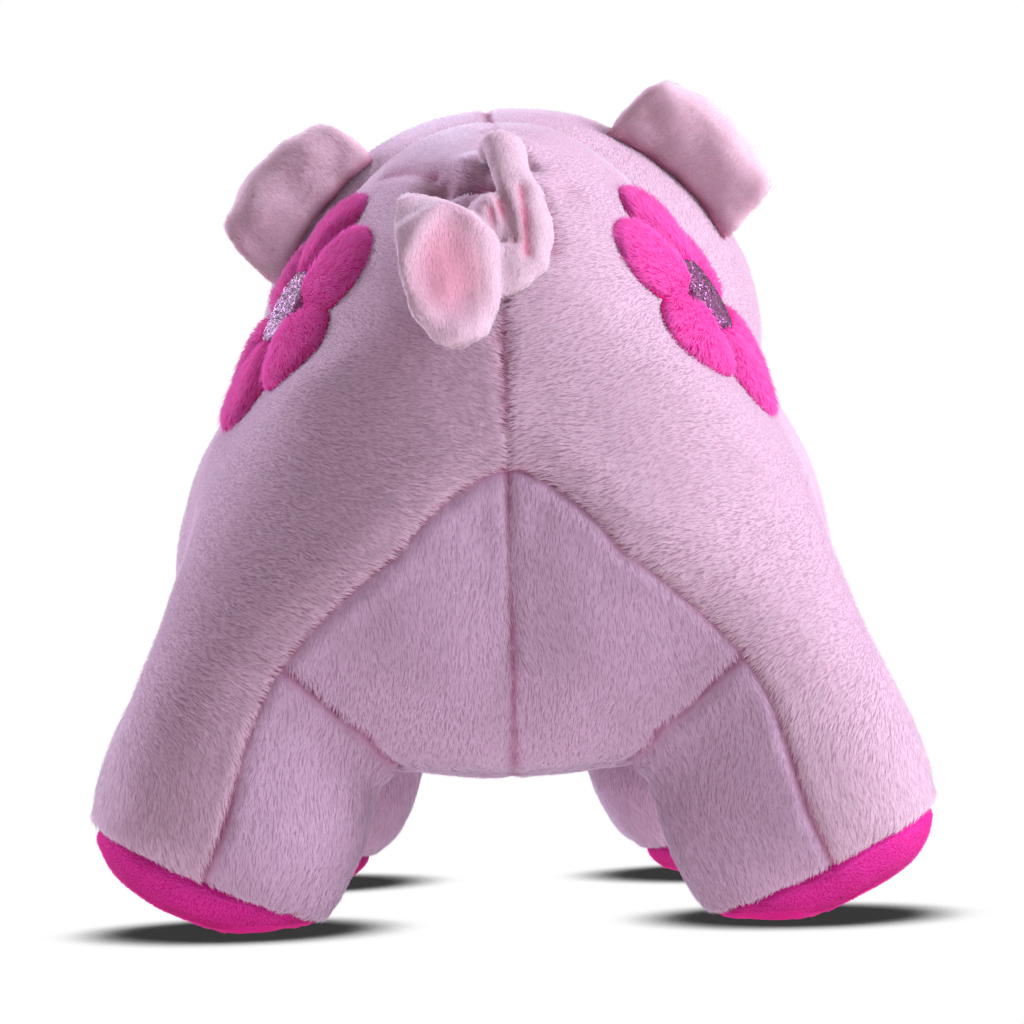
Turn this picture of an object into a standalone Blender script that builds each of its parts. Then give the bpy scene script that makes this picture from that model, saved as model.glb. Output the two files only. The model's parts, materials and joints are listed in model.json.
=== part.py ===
"""A plush pig that stands on four legs, cut as separate panels and sewn round stuffed forms.

Metres, +Z up. The pig looks along -Y, its tail is at +Y and its left side is at +X.
The floor is z = 0. Every piece of fabric is a thin closed shell, and the stuffing under it is
a closed form of its own, so the toy comes apart at its seams.
"""

import math

import bmesh
import bpy
from mathutils import Matrix, Vector
from mathutils.bvhtree import BVHTree

# Fabric and seams
FABRIC = 0.0022
APPLIQUE = 0.0020
SEAM_GAP = 0.0003
SEAM_PINCH = 0.0008
CONFORM_GAP = 0.0006
FAR_OFF = 0.3000

# Trunk: half width, top of the back, underside of the belly, and reach behind and ahead of the middle
BODY_HALF_WIDTH = 0.1005
BACK_HEIGHT = 0.2375
BELLY_HEIGHT = 0.0395
WIDEST_HEIGHT = 0.1100
RUMP_REACH = 0.1220
CHEST_REACH = 0.1180
TOP_RUN = 0.1010
END_SHARPNESS = 2.5
END_ROUNDNESS = 0.35
RING_ROUNDNESS = 0.8
UPPER_TAPER = 0.1000

# Legs: how far in from the trunk's side, the rump and the chest they stand, and the half widths of
# their three rings and of the sole
STANCE_INSET = 0.0125
FRONT_STANCE_DROP = 0.0115
REAR_LEG_INSET = 0.0370
FRONT_LEG_INSET = 0.0330
LEG_SPLAY = 0.0235
ROOT_HALF_WIDTH = 0.0327
ROOT_HALF_LENGTH = 0.0340
ROOT_HEIGHT = 0.0680
ROOT_TILT = 0.0240
ROOT_RISE = 0.0080
ARCH_DROP = 0.0120
SHIN_HALF_WIDTH = 0.0374
SHIN_HALF_LENGTH = 0.0375
SHIN_HEIGHT = 0.0410
SHIN_TILT = 0.0130
ANKLE_HALF_WIDTH = 0.0362
ANKLE_HALF_LENGTH = 0.0368
ANKLE_HEIGHT = 0.0245
ANKLE_TILT = 0.0130
SOLE_HALF_WIDTH = 0.0322
SOLE_HALF_LENGTH = 0.0320
SOLE_EDGE_HEIGHT = 0.0155
SOLE_TILT = 0.0150
FRONT_SOLE_LEVEL = 0.5000
SOLE_DOME = 0.0128
FRONT_SOLE_DOME = 0.0170
SOLE_MID_SHARE = 0.6900
SOLE_MID_DROP = 0.7800
SOLE_FLAT_CUT = 0.0005

# Head: an egg that narrows to the face, set a little askew on the neck. Its centre lies a little
# to the right, behind the chest's front and below the top of the back
HEAD_SHIFT = 0.0055
HEAD_BACKSET = 0.0100
HEAD_DROP = 0.0550
HEAD_HALF_WIDTH = 0.0845
HEAD_HALF_LENGTH = 0.0680
HEAD_HALF_HEIGHT = 0.0755
HEAD_JOWL = 0.0700
HEAD_TAPER = 0.1600
HEAD_ROLL = math.radians(5.2)
HEAD_FACETS = 8

# Snout: a short swelling tube with an oval end
SNOUT_HALF_WIDTH = 0.0300
SNOUT_HALF_HEIGHT = 0.0240
SNOUT_REACH = 0.0175
SNOUT_DROP = 0.0160
SNOUT_CROWN = 0.0040
SNOUT_ROOT = 0.0200
SNOUT_SWELL = ((0.0, 0.98), (0.32, 1.00), (0.59, 1.02), (0.84, 1.015), (1.0, 0.90))
SNOUT_END_RINGS = (0.60, 0.28)
NOSTRIL_HALF_WIDTH = 0.0042
NOSTRIL_HALF_HEIGHT = 0.0065
NOSTRIL_SPREAD = 0.0120
NOSTRIL_THICKNESS = 0.0010

# Eyes: domes on stems, each locked by a washer behind the fabric
EYE_RADIUS = 0.0072
EYE_DOME = 0.0042
EYE_STEM_RADIUS = 0.0020
EYE_STEM_LENGTH = 0.0110
EYE_SPREAD = 0.5200
EYE_RAISE = 0.2300
WASHER_RADIUS = 0.0068
WASHER_THICKNESS = 0.0014
WASHER_SEAT = 0.0010
STEM_CLEARANCE = 0.0004

# Ears: two layers of fabric, folded forward across the middle
EAR_BASE_HALF_WIDTH = 0.0275
EAR_FOLD_HALF_WIDTH = 0.0230
EAR_RISE = 0.0155
EAR_FOLD_RADIUS = 0.0066
EAR_FOLD_TURN = math.radians(108)
EAR_FLAP = 0.0220
EAR_HALF_THICKNESS = 0.0038
EAR_EDGE_THICKNESS = 0.0012
EAR_AZIMUTH = math.radians(54)
EAR_TILT = math.radians(46)
EAR_SETBACK = 0.0260
EAR_CLEARANCE = 0.0006

# Tail: a flattened tube that curls once and ends in a wide flap, rooted below the top of the back
TAIL_ROOT_DROP = 0.0225
TAIL_ROOT_HALF = 0.0042
TAIL_ROOT_CAP = 0.0038
TAIL_ROOT_RISE = 0.0050
TAIL_HALF_WIDTH = 0.0072
TAIL_HALF_THICKNESS = 0.0042
TAIL_CURL = 0.0110
TAIL_DROP = 0.0300
TAIL_STANDOFF = 0.0072
FLAP_HALF_WIDTH = 0.0158
FLAP_LENGTH = 0.0295
FLAP_STANDOFF = 0.0240
TAIL_CLEARANCE = 0.0004

# Flowers: blossoms with a round glitter centre, one on each flank, placed in from the rump and
# down from the back
FLOWER_RADIUS = 0.0415
FLOWER_NOTCH = 0.0300
FLOWER_PETALS = 6
PETAL_STEPS = 8
FLOWER_INSET = 0.0630
FLOWER_DROP = 0.0595
FLOWER_TURN = math.radians(-30)
FLOWER_ASKEW = 0.0035
FLOWER_GAP = 0.0009
GLITTER_RADIUS = 0.0125
GLITTER_THICKNESS = 0.0010

STANCE = BODY_HALF_WIDTH - STANCE_INSET
HEAD_CENTRE = Vector((-HEAD_SHIFT, HEAD_BACKSET - CHEST_REACH, BACK_HEIGHT - HEAD_DROP))

# Half cross-section at the middle of the trunk, as shares of the half width and of the height
# between belly and back: spine, flank, outer root of the leg, gusset seam, inner root, belly seam
SECTION = (
    (0.00, 1.000),
    (0.29, 0.962),
    (0.555, 0.815),
    (0.770, 0.617),
    (0.955, 0.430),
    (0.98, 0.232),
    (0.68, 0.055),
    (0.32, 0.008),
    (0.00, 0.000),
)
# Heights on the rump's centre seam where those lines meet it, as shares of the same height
RUMP_MEETS = (None, 0.815, 0.745, 0.670, 0.595, 0.524, 0.455, 0.285, None)
SPINE, OUTER_ROOT, SEAM, INNER_ROOT, BELLY = 0, 5, 6, 7, 8
# Where the belly seam passes under each ring: share of the reach, and of the height
BELLY_LINE = {
    "end": (0.915, 0.115),
    "leg_far": (0.830, 0.035),
    "leg_mid": (0.655, 0.002),
    "leg_near": (0.385, 0.000),
}
# How far the hams swell between the centre seam and the leg, on the lines round the leg's root
HAM_SWELL_OUTER = 0.0060
HAM_SWELL_SEAM = 0.0030
HAM_SWELL_INNER = 0.0050
HAM_SWELL = {OUTER_ROOT: HAM_SWELL_OUTER, SEAM: HAM_SWELL_SEAM, INNER_ROOT: HAM_SWELL_INNER}
# How far round from the rump's centre seam each ring of the trunk lies
RING_TURN = {"end": 28, "leg_far": 45, "leg_mid": 60, "leg_near": 74}


def clear_scene():
    for item in list(bpy.data.objects):
        bpy.data.objects.remove(item, do_unlink=True)


def fabric_material(name, colour, roughness=0.95, metallic=0.0):
    material = bpy.data.materials.new(name)
    material.use_nodes = True
    shader = material.node_tree.nodes["Principled BSDF"]
    shader.inputs["Base Color"].default_value = (*colour, 1.0)
    shader.inputs["Roughness"].default_value = roughness
    shader.inputs["Metallic"].default_value = metallic
    return material


def mesh_object(name, points, faces, material, smooth=True):
    mesh = bpy.data.meshes.new(name)
    mesh.from_pydata([tuple(p) for p in points], [], faces)
    mesh.update()
    item = bpy.data.objects.new(name, mesh)
    bpy.context.scene.collection.objects.link(item)
    if material is not None:
        mesh.materials.append(material)
    if smooth:
        mesh.shade_smooth()
        mesh.set_sharp_from_angle(angle=math.radians(50))
    return item


def evaluated_mesh(item):
    graph = bpy.context.evaluated_depsgraph_get()
    graph.update()
    return bpy.data.meshes.new_from_object(item.evaluated_get(graph))


def power(value, exponent):
    return math.copysign(abs(value) ** exponent, value)


def share_height(share):
    return BELLY_HEIGHT + (BACK_HEIGHT - BELLY_HEIGHT) * share


def end_profile(reach, height):
    """How far the rump or chest reaches at a height, on the centre seam."""
    span = BACK_HEIGHT - WIDEST_HEIGHT if height > WIDEST_HEIGHT else WIDEST_HEIGHT - BELLY_HEIGHT
    rise = min(1.0, abs(height - WIDEST_HEIGHT) / span)
    return reach * max(0.0, 1.0 - rise**END_SHARPNESS) ** END_ROUNDNESS


def spine_height(reach, along):
    """Height of the back at a distance from the middle of the trunk."""
    out = min(1.0, abs(along) / reach)
    rise = (1.0 - out ** (1 / END_ROUNDNESS)) ** (1 / END_SHARPNESS)
    return WIDEST_HEIGHT + (BACK_HEIGHT - WIDEST_HEIGHT) * rise


def leg_ring(stance, along, ring, angle, facing):
    """A point on one of a leg's rings. Angle 0 is outward and 90 degrees is away from the middle."""
    share, half_width, half_length, height, tilt = ring
    centre = stance - LEG_SPLAY * (1.0 - share)
    if facing < 0:
        tilt *= 1.0 - FRONT_SOLE_LEVEL * share**3
    out, back = math.cos(angle), math.sin(angle)
    return Vector(
        (centre + half_width * out, facing * (along + half_length * back), height + tilt * out)
    )


ROOT_RING = (0.0, ROOT_HALF_WIDTH, ROOT_HALF_LENGTH, ROOT_HEIGHT, ROOT_TILT)
SHIN_RING = (0.56, SHIN_HALF_WIDTH, SHIN_HALF_LENGTH, SHIN_HEIGHT, SHIN_TILT)
ANKLE_RING = (0.82, ANKLE_HALF_WIDTH, ANKLE_HALF_LENGTH, ANKLE_HEIGHT, ANKLE_TILT)
SOLE_RING = (1.0, SOLE_HALF_WIDTH, SOLE_HALF_LENGTH, SOLE_EDGE_HEIGHT, SOLE_TILT)


def root_point(stance, along, angle, facing):
    point = leg_ring(stance, along, ROOT_RING, angle, facing)
    back = math.sin(angle)
    point.z += (ROOT_RISE if back > 0 else -ARCH_DROP) * back * back
    return point


class Cage:
    """Control cage of the sewn cover, both sides, with the fabric panel and stuffed form of each face."""

    def __init__(self):
        self.points = []
        self.index = {}
        self.faces = []
        self.labels = []

    def vertex(self, key, side, point):
        on_centre = abs(point[0]) < 1e-9
        name = (key, 0 if on_centre else side)
        if name not in self.index:
            self.index[name] = len(self.points)
            self.points.append(Vector((side * point[0], point[1], point[2])))
        return self.index[name]

    def face(self, corners, side, panel, form):
        self.faces.append(corners if side > 0 else list(reversed(corners)))
        self.labels.append((panel, form))


def trunk_points(facing, reach, along, stance):
    """Points of one end of the trunk, by ring and line, on the pig's left side."""
    points = {}
    for ring, degrees in RING_TURN.items():
        turn = math.radians(degrees)
        cosine = power(math.cos(turn), RING_ROUNDNESS)
        sine = power(math.sin(turn), RING_ROUNDNESS)
        spine_at = TOP_RUN * reach / RUMP_REACH * cosine
        points[ring, SPINE] = Vector((0, facing * spine_at, spine_height(reach, spine_at)))
        for line in range(1, OUTER_ROOT):
            start_height = share_height(RUMP_MEETS[line])
            start = end_profile(reach, start_height)
            y = start * cosine
            haunch = 1.0 - UPPER_TAPER * facing * y / reach * min(1.0, OUTER_ROOT - 1 - line)
            x = BODY_HALF_WIDTH * SECTION[line][0] * sine * haunch
            mix = math.sin(turn) ** 2
            z = start_height + (share_height(SECTION[line][1]) - start_height) * mix
            points[ring, line] = Vector((x, facing * y, z))
    rounds = {
        ("leg_far", OUTER_ROOT): 45,
        ("leg_far", SEAM): 90,
        ("leg_far", INNER_ROOT): 135,
        ("leg_mid", OUTER_ROOT): 0,
        ("leg_mid", INNER_ROOT): 180,
        ("leg_near", OUTER_ROOT): -45,
        ("leg_near", SEAM): -90,
        ("leg_near", INNER_ROOT): -135,
    }
    for key, degrees in rounds.items():
        points[key] = root_point(stance, along, math.radians(degrees), facing)
    for line, bulge in HAM_SWELL.items():
        start_height = share_height(RUMP_MEETS[line])
        start = Vector((0, facing * end_profile(reach, start_height), start_height))
        middle = start.lerp(points["leg_far", line], 0.5)
        middle.y += facing * bulge
        middle.z += bulge if line == SEAM else 0
        points["end", line] = middle
    for ring, (share_along, share_up) in BELLY_LINE.items():
        points[ring, BELLY] = Vector((0, facing * reach * share_along, share_height(share_up)))
    return points


def panel_of(line, side_name):
    return f"flank_{side_name}" if line < SEAM else f"belly_gusset_{side_name}"


def build_cage():
    cage = Cage()
    for side, side_name in ((1, "left"), (-1, "right")):
        middle = {
            line: Vector((BODY_HALF_WIDTH * share[0], 0, share_height(share[1])))
            for line, share in enumerate(SECTION)
        }
        for facing, end_name, reach, inset, stance in (
            (1, "rear", RUMP_REACH, REAR_LEG_INSET, STANCE),
            (-1, "front", CHEST_REACH, FRONT_LEG_INSET, STANCE - FRONT_STANCE_DROP),
        ):
            along = reach - inset
            points = trunk_points(facing, reach, along, stance)
            leg = f"{end_name}_{side_name}"

            def at(ring, line):
                if ring == "middle":
                    return cage.vertex(("middle", line), side, middle[line])
                if ring == "centre":
                    height = share_height(RUMP_MEETS[line])
                    point = (0, facing * end_profile(reach, height), height)
                    return cage.vertex((end_name, "centre", line), side, point)
                return cage.vertex((end_name, ring, line), side, points[ring, line])

            def add(corners, panel, form):
                cage.face(corners if facing > 0 else corners[::-1], side, panel, form)

            for line in range(1, INNER_ROOT):
                corners = [at("centre", line), at("centre", line + 1)]
                corners += [at("end", line + 1), at("end", line)]
                add(corners, panel_of(line, side_name), "trunk")
            add([at("end", 0), at("centre", 1), at("end", 1)], panel_of(0, side_name), "trunk")
            low = [at("centre", INNER_ROOT), at("end", BELLY), at("end", INNER_ROOT)]
            add(low, panel_of(INNER_ROOT, side_name), "trunk")
            rings = ["end", "leg_far", "leg_mid", "leg_near", "middle"]
            for first, second in zip(rings, rings[1:]):
                under_leg = {first, second} <= {"leg_far", "leg_mid", "leg_near"}
                for line in range(BELLY):
                    if under_leg and line in (OUTER_ROOT, SEAM):
                        continue
                    corners = [at(first, line), at(first, line + 1)]
                    corners += [at(second, line + 1), at(second, line)]
                    add(corners, panel_of(line, side_name), "trunk")
            root = [
                at("leg_mid", OUTER_ROOT),
                at("leg_far", OUTER_ROOT),
                at("leg_far", SEAM),
                at("leg_far", INNER_ROOT),
                at("leg_mid", INNER_ROOT),
                at("leg_near", INNER_ROOT),
                at("leg_near", SEAM),
                at("leg_near", OUTER_ROOT),
            ]
            loops = [root]
            for ring in (SHIN_RING, ANKLE_RING, SOLE_RING):
                loop = []
                for step in range(8):
                    angle = math.radians(45 * step)
                    point = leg_ring(stance, along, ring, angle, facing)
                    loop.append(cage.vertex((leg, ring[0], step), side, point))
                loops.append(loop)
            for upper, lower in zip(loops, loops[1:]):
                for step in range(8):
                    after = (step + 1) % 8
                    inner = 2 <= step < 6
                    panel = f"inner_leg_{leg}" if inner else f"flank_{side_name}"
                    corners = [upper[step], upper[after], lower[after], lower[step]]
                    add(corners, panel, f"leg_{leg}")
            tilt, dome = SOLE_TILT, SOLE_DOME
            if facing < 0:
                tilt, dome = SOLE_TILT * (1.0 - FRONT_SOLE_LEVEL), FRONT_SOLE_DOME
            lean = math.atan2(tilt, SOLE_HALF_WIDTH)
            down = Vector((math.sin(lean), 0, -math.cos(lean)))
            down *= dome
            bottom = Vector((stance, facing * along, SOLE_EDGE_HEIGHT)) + down
            centre = cage.vertex((leg, "sole"), side, bottom)
            inner = []
            for step in range(8):
                angle = math.radians(45 * step)
                rim = leg_ring(stance, along, SOLE_RING, angle, facing)
                point = bottom.lerp(rim + down, SOLE_MID_SHARE)
                point -= down * (1.0 - SOLE_MID_DROP)
                inner.append(cage.vertex((leg, "sole_mid", step), side, point))
            for step in range(8):
                after = (step + 1) % 8
                corners = [loops[-1][step], loops[-1][after], inner[after], inner[step]]
                add(corners, f"sole_{leg}", f"leg_{leg}")
            for step in range(0, 8, 2):
                corners = [inner[step], inner[step + 1], inner[(step + 2) % 8], centre]
                add(corners, f"sole_{leg}", f"leg_{leg}")
    return cage


def smooth_cover(cage):
    """One level of subdivision, with the cage pushed out until the surface passes through its points.

    The floor presses the soles flat, half a millimetre below where they are then cut.
    """
    labels = sorted(set(cage.labels))
    item = mesh_object("cover_cage", cage.points, cage.faces, None, smooth=False)
    for polygon, label in zip(item.data.polygons, cage.labels):
        polygon.material_index = labels.index(label)
    for _ in labels:
        item.data.materials.append(None)
    for polygon, label in zip(item.data.polygons, cage.labels):
        polygon.material_index = labels.index(label)
    tidy = bmesh.new()
    tidy.from_mesh(item.data)
    bmesh.ops.recalc_face_normals(tidy, faces=tidy.faces)
    tidy.to_mesh(item.data)
    tidy.free()
    subdivide = item.modifiers.new("round", "SUBSURF")
    subdivide.levels = 1
    subdivide.render_levels = 1
    for _ in range(5):
        surface = evaluated_mesh(item)
        for index, target in enumerate(cage.points):
            item.data.vertices[index].co += target - surface.vertices[index].co
        item.data.update()
    cover = bmesh.new()
    cover.from_mesh(evaluated_mesh(item))
    bpy.data.objects.remove(item)
    for vertex in cover.verts:
        vertex.co.z = max(vertex.co.z, -SOLE_FLAT_CUT)
    return shell_of(cover, lambda face: labels[face.material_index])


class Shell:
    """A surface cut into labelled patches, from which fabric panels and stuffed forms are made."""

    def __init__(self, points, normals, faces, labels):
        self.points = points
        self.normals = normals
        self.faces = faces
        self.labels = labels

    def border(self, wanted):
        """Directed edges with a wanted face on one side only."""
        seen = {}
        for face, label in zip(self.faces, self.labels):
            if wanted(label):
                for a, b in zip(face, face[1:] + face[:1]):
                    seen[a, b] = True
        return [edge for edge in seen if (edge[1], edge[0]) not in seen]

    def inset(self, border):
        """For each border point, the step along the surface that opens half a seam gap."""
        pull = {}
        for a, b in border:
            along = (self.points[b] - self.points[a]).normalized()
            for end in (a, b):
                inward = self.normals[end].cross(along).normalized()
                pull[end] = pull.get(end, Vector()) + inward
        return {
            end: total * (SEAM_GAP / max(total.length_squared, 0.4)) * 1.05
            for end, total in pull.items()
        }

    def panel(self, name, wanted, thickness, material, drop=0.0, pinch=SEAM_PINCH):
        """A closed thin shell of fabric over the wanted patches."""
        border = self.border(wanted)
        steps = self.inset(border)
        chosen = [f for f, label in zip(self.faces, self.labels) if wanted(label)]
        used = sorted({index for face in chosen for index in face})
        place = {index: number for number, index in enumerate(used)}
        outer, inner = [], []
        for index in used:
            base = self.points[index] + steps.get(index, Vector())
            normal = self.normals[index]
            outer.append(base - normal * (drop + (pinch if index in steps else 0.0)))
            inner.append(base - normal * (drop + thickness))
        count = len(used)
        faces = [[place[i] for i in face] for face in chosen]
        faces += [[place[i] + count for i in reversed(face)] for face in chosen]
        faces += [
            [place[b], place[a], place[a] + count, place[b] + count] for a, b in border
        ]
        return mesh_object(name, outer + inner, faces, material)

    def form(self, name, wanted, depth, material, lids):
        """A closed stuffed form under the wanted patches. Lids give each open loop's shift."""
        border = self.border(wanted)
        chosen = [f for f, label in zip(self.faces, self.labels) if wanted(label)]
        used = sorted({index for face in chosen for index in face})
        place = {index: number for number, index in enumerate(used)}
        points = [self.points[i] - self.normals[i] * depth for i in used]
        faces = [[place[i] for i in face] for face in chosen]
        for loop in loops_of(border):
            middle = sum((self.points[i] for i in loop), Vector()) / len(loop)
            shift = lids(middle)
            for i in loop:
                points[place[i]] = points[place[i]] + shift
            cap = sum((points[place[i]] for i in loop), Vector()) / len(loop)
            points.append(cap)
            top = len(points) - 1
            for a, b in zip(loop, loop[1:] + loop[:1]):
                faces.append([place[b], place[a], top])
        return mesh_object(name, points, faces, material)


def loops_of(border):
    """Directed edges joined into closed loops."""
    following = dict(border)
    loops = []
    while following:
        start = next(iter(following))
        loop = [start]
        after = following.pop(start)
        while after != start:
            loop.append(after)
            after = following.pop(after)
        loops.append(loop)
    return loops


def shell_of(surface, label_of):
    """A shell from a bmesh, cut into triangles once so that every piece made from it has the same facets."""
    surface.normal_update()
    normals = [vertex.normal.copy() for vertex in surface.verts]
    bmesh.ops.triangulate(surface, faces=surface.faces[:])
    surface.verts.index_update()
    points = [vertex.co.copy() for vertex in surface.verts]
    faces = [[vertex.index for vertex in face.verts] for face in surface.faces]
    marks = [label_of(face) for face in surface.faces]
    return Shell(points, normals, faces, marks)


def offset_solid(name, shell, distance):
    """A closed guide solid, the surface moved outward, used as a cutter."""
    points = [p + n * distance for p, n in zip(shell.points, shell.normals)]
    return mesh_object(name, points, shell.faces, None)


def cut_away(item, cutters):
    """The item without what the cutters cover, with the cut applied to its mesh."""
    for cutter in cutters:
        cut = item.modifiers.new("cut", "BOOLEAN")
        cut.operation = "DIFFERENCE"
        cut.solver = "EXACT"
        cut.object = cutter
    mesh = evaluated_mesh(item)
    mesh.name = item.name
    item.modifiers.clear()
    item.data = mesh
    return item


def flatten_foot(item):
    """Cuts a sole flat at the floor."""
    body = bmesh.new()
    body.from_mesh(item.data)
    everything = body.verts[:] + body.edges[:] + body.faces[:]
    cut = bmesh.ops.bisect_plane(
        body, geom=everything, plane_co=(0, 0, 0), plane_no=(0, 0, -1), clear_outer=True
    )
    edges = [e for e in cut["geom_cut"] if isinstance(e, bmesh.types.BMEdge)]
    bmesh.ops.contextual_create(body, geom=edges)
    bmesh.ops.recalc_face_normals(body, faces=body.faces)
    body.to_mesh(item.data)
    body.free()
    return item


def to_world(local):
    """From the head's own frame to the toy's."""
    turned = Matrix.Rotation(HEAD_ROLL, 3, "Y") @ Vector(local)
    return HEAD_CENTRE + turned


def head_direction(local):
    return Matrix.Rotation(HEAD_ROLL, 3, "Y") @ Vector(local)


def head_surface(direction):
    """The head's surface in its own frame, for a direction from its centre."""
    u, v, w = Vector(direction).normalized()
    ahead = max(0.0, -v)
    width = HEAD_HALF_WIDTH * (1.0 - HEAD_JOWL * w) * (1.0 - HEAD_TAPER * ahead**2)
    height = HEAD_HALF_HEIGHT * (1.0 - HEAD_TAPER * 0.6 * ahead**2)
    return Vector((width * u, HEAD_HALF_LENGTH * v, height * w))


def head_shell():
    """A cube's grid blown up to the head, with a left and a right patch."""
    ball = bmesh.new()
    bmesh.ops.create_cube(ball, size=2.0)
    bmesh.ops.subdivide_edges(ball, edges=ball.edges[:], cuts=HEAD_FACETS - 1, use_grid_fill=True)
    for vertex in ball.verts:
        spread = Vector([math.tan(c * math.pi / 4) for c in vertex.co])
        vertex.co = to_world(head_surface(spread))
    bmesh.ops.recalc_face_normals(ball, faces=ball.faces)
    turn_back = Matrix.Rotation(-HEAD_ROLL, 3, "Y")

    def label_of(face):
        local = turn_back @ (face.calc_center_median() - HEAD_CENTRE)
        return "head_left" if local.x > 0 else "head_right"

    return shell_of(ball, label_of)


def snout_shell():
    """A swelling tube from inside the head to the snout's end, closed at both ends."""
    sides = 16
    back = -HEAD_HALF_LENGTH + SNOUT_ROOT
    front = -HEAD_HALF_LENGTH - SNOUT_REACH
    run = front - back
    rings = [(back + run * share, width) for share, width in SNOUT_SWELL]
    end_width = SNOUT_SWELL[-1][1]
    points, faces, labels = [], [], []
    for y, share in rings:
        for step in range(sides):
            angle = 2 * math.pi * step / sides
            x = SNOUT_HALF_WIDTH * share * math.cos(angle)
            z = SNOUT_HALF_HEIGHT * share * math.sin(angle) - SNOUT_DROP
            points.append(to_world((x, y, z)))
    for ring in range(len(rings) - 1):
        for step in range(sides):
            after = (step + 1) % sides
            near, far = ring * sides, (ring + 1) * sides
            faces.append([near + step, near + after, far + after, far + step])
            labels.append("side")
    for share in SNOUT_END_RINGS:
        for step in range(sides):
            angle = 2 * math.pi * step / sides
            x = SNOUT_HALF_WIDTH * end_width * share * math.cos(angle)
            z = SNOUT_HALF_HEIGHT * end_width * share * math.sin(angle) - SNOUT_DROP
            y = front - SNOUT_CROWN * (1.0 - share**2)
            points.append(to_world((x, y, z)))
    for ring in (len(rings) - 1, len(rings)):
        for step in range(sides):
            after = (step + 1) % sides
            near, far = ring * sides, (ring + 1) * sides
            faces.append([near + step, near + after, far + after, far + step])
            labels.append("end")
    tip = len(points)
    points.append(to_world((0, front - SNOUT_CROWN, -SNOUT_DROP)))
    last = (len(rings) + 1) * sides
    for step in range(sides):
        faces.append([last + step, last + (step + 1) % sides, tip])
        labels.append("end")
    root = len(points)
    points.append(to_world((0, back, -SNOUT_DROP)))
    for step in range(sides):
        faces.append([(step + 1) % sides, step, root])
        labels.append("hidden")
    names = ("side", "end", "hidden")
    body = bmesh.new()
    verts = [body.verts.new(p) for p in points]
    for face, label in zip(faces, labels):
        body.faces.new([verts[i] for i in face]).material_index = names.index(label)
    bmesh.ops.recalc_face_normals(body, faces=body.faces)
    return shell_of(body, lambda face: names[face.material_index])


def tree_of(shell):
    return BVHTree.FromPolygons(shell.points, shell.faces)


def disc_on(tree, name, centre, outward, up, outline, rings, lift, thickness, material):
    """A thin piece that follows the surface below it. Outline gives its radius by angle."""
    across = up.cross(outward).normalized()
    up = outward.cross(across).normalized()
    steps = len(outline)
    lower, upper = [], []

    def drop(share, step):
        angle = 2 * math.pi * step / steps
        radius = outline[step] * share
        flat = centre + across * radius * math.cos(angle) + up * radius * math.sin(angle)
        hit, normal, _, _ = tree.ray_cast(flat + outward * 0.05, -outward)
        if normal.dot(outward) < 0:
            normal = -normal
        normal = normal.lerp(outward, 0.5).normalized()
        edge = 0.25 if share == 1.0 else 0.0
        lower.append(hit + normal * lift)
        upper.append(hit + normal * (lift + thickness * (1.0 - edge)))

    for share in rings:
        for step in range(steps):
            drop(share, step)
    drop(0.0, 0)
    count = len(lower)
    faces = []
    for ring in range(len(rings) - 1):
        for step in range(steps):
            after = (step + 1) % steps
            a, b = ring * steps + step, ring * steps + after
            c, d = (ring + 1) * steps + after, (ring + 1) * steps + step
            faces.append([a + count, b + count, c + count, d + count])
            faces.append([d, c, b, a])
    last = (len(rings) - 1) * steps
    for step in range(steps):
        after = (step + 1) % steps
        faces.append([last + step + count, last + after + count, 2 * count - 1])
        faces.append([last + after, last + step, count - 1])
        faces.append([step, after, after + count, step + count])
    item = mesh_object(name, lower + upper, faces, material)
    face_outward(item)
    return item


def face_outward(item):
    body = bmesh.new()
    body.from_mesh(item.data)
    bmesh.ops.recalc_face_normals(body, faces=body.faces)
    if body.calc_volume(signed=True) < 0:
        bmesh.ops.reverse_faces(body, faces=body.faces)
    body.to_mesh(item.data)
    body.free()


def petal_outline(steps):
    radii = []
    for step in range(steps):
        swing = abs(math.cos(FLOWER_PETALS * math.pi * step / steps))
        radii.append(FLOWER_NOTCH + (FLOWER_RADIUS - FLOWER_NOTCH) * swing**0.6)
    return radii


def tube(name, start, end, radius, material, sides=16):
    """A plain closed cylinder between two points."""
    axis = (end - start).normalized()
    across = axis.orthogonal().normalized()
    other = axis.cross(across)
    points = []
    for centre in (start, end):
        for step in range(sides):
            angle = 2 * math.pi * step / sides
            points.append(centre + (across * math.cos(angle) + other * math.sin(angle)) * radius)
    faces = [list(range(sides))[::-1], list(range(sides, 2 * sides))]
    for step in range(sides):
        after = (step + 1) % sides
        faces.append([step, after, after + sides, step + sides])
    return mesh_object(name, points, faces, material)


def turned(name, origin, axis, profile, material, sides=14, closed_ring=False):
    """A turned piece: profile is (radius, height) along the axis, from the bottom to the top."""
    across = axis.orthogonal().normalized()
    other = axis.cross(across)
    points, rows = [], []
    for radius, height in profile:
        if radius < 1e-9:
            rows.append([len(points)])
            points.append(origin + axis * height)
            continue
        row = []
        for step in range(sides):
            angle = 2 * math.pi * step / sides
            row.append(len(points))
            spoke = across * math.cos(angle) + other * math.sin(angle)
            points.append(origin + axis * height + spoke * radius)
        rows.append(row)
    if closed_ring:
        rows.append(rows[0])
    faces = []
    for low, high in zip(rows, rows[1:]):
        for step in range(sides):
            after = (step + 1) % sides
            if len(low) == 1:
                faces.append([low[0], high[after], high[step]])
            elif len(high) == 1:
                faces.append([low[step], low[after], high[0]])
            else:
                faces.append([low[step], low[after], high[after], high[step]])
    item = mesh_object(name, points, faces, material)
    face_outward(item)
    return item


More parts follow.
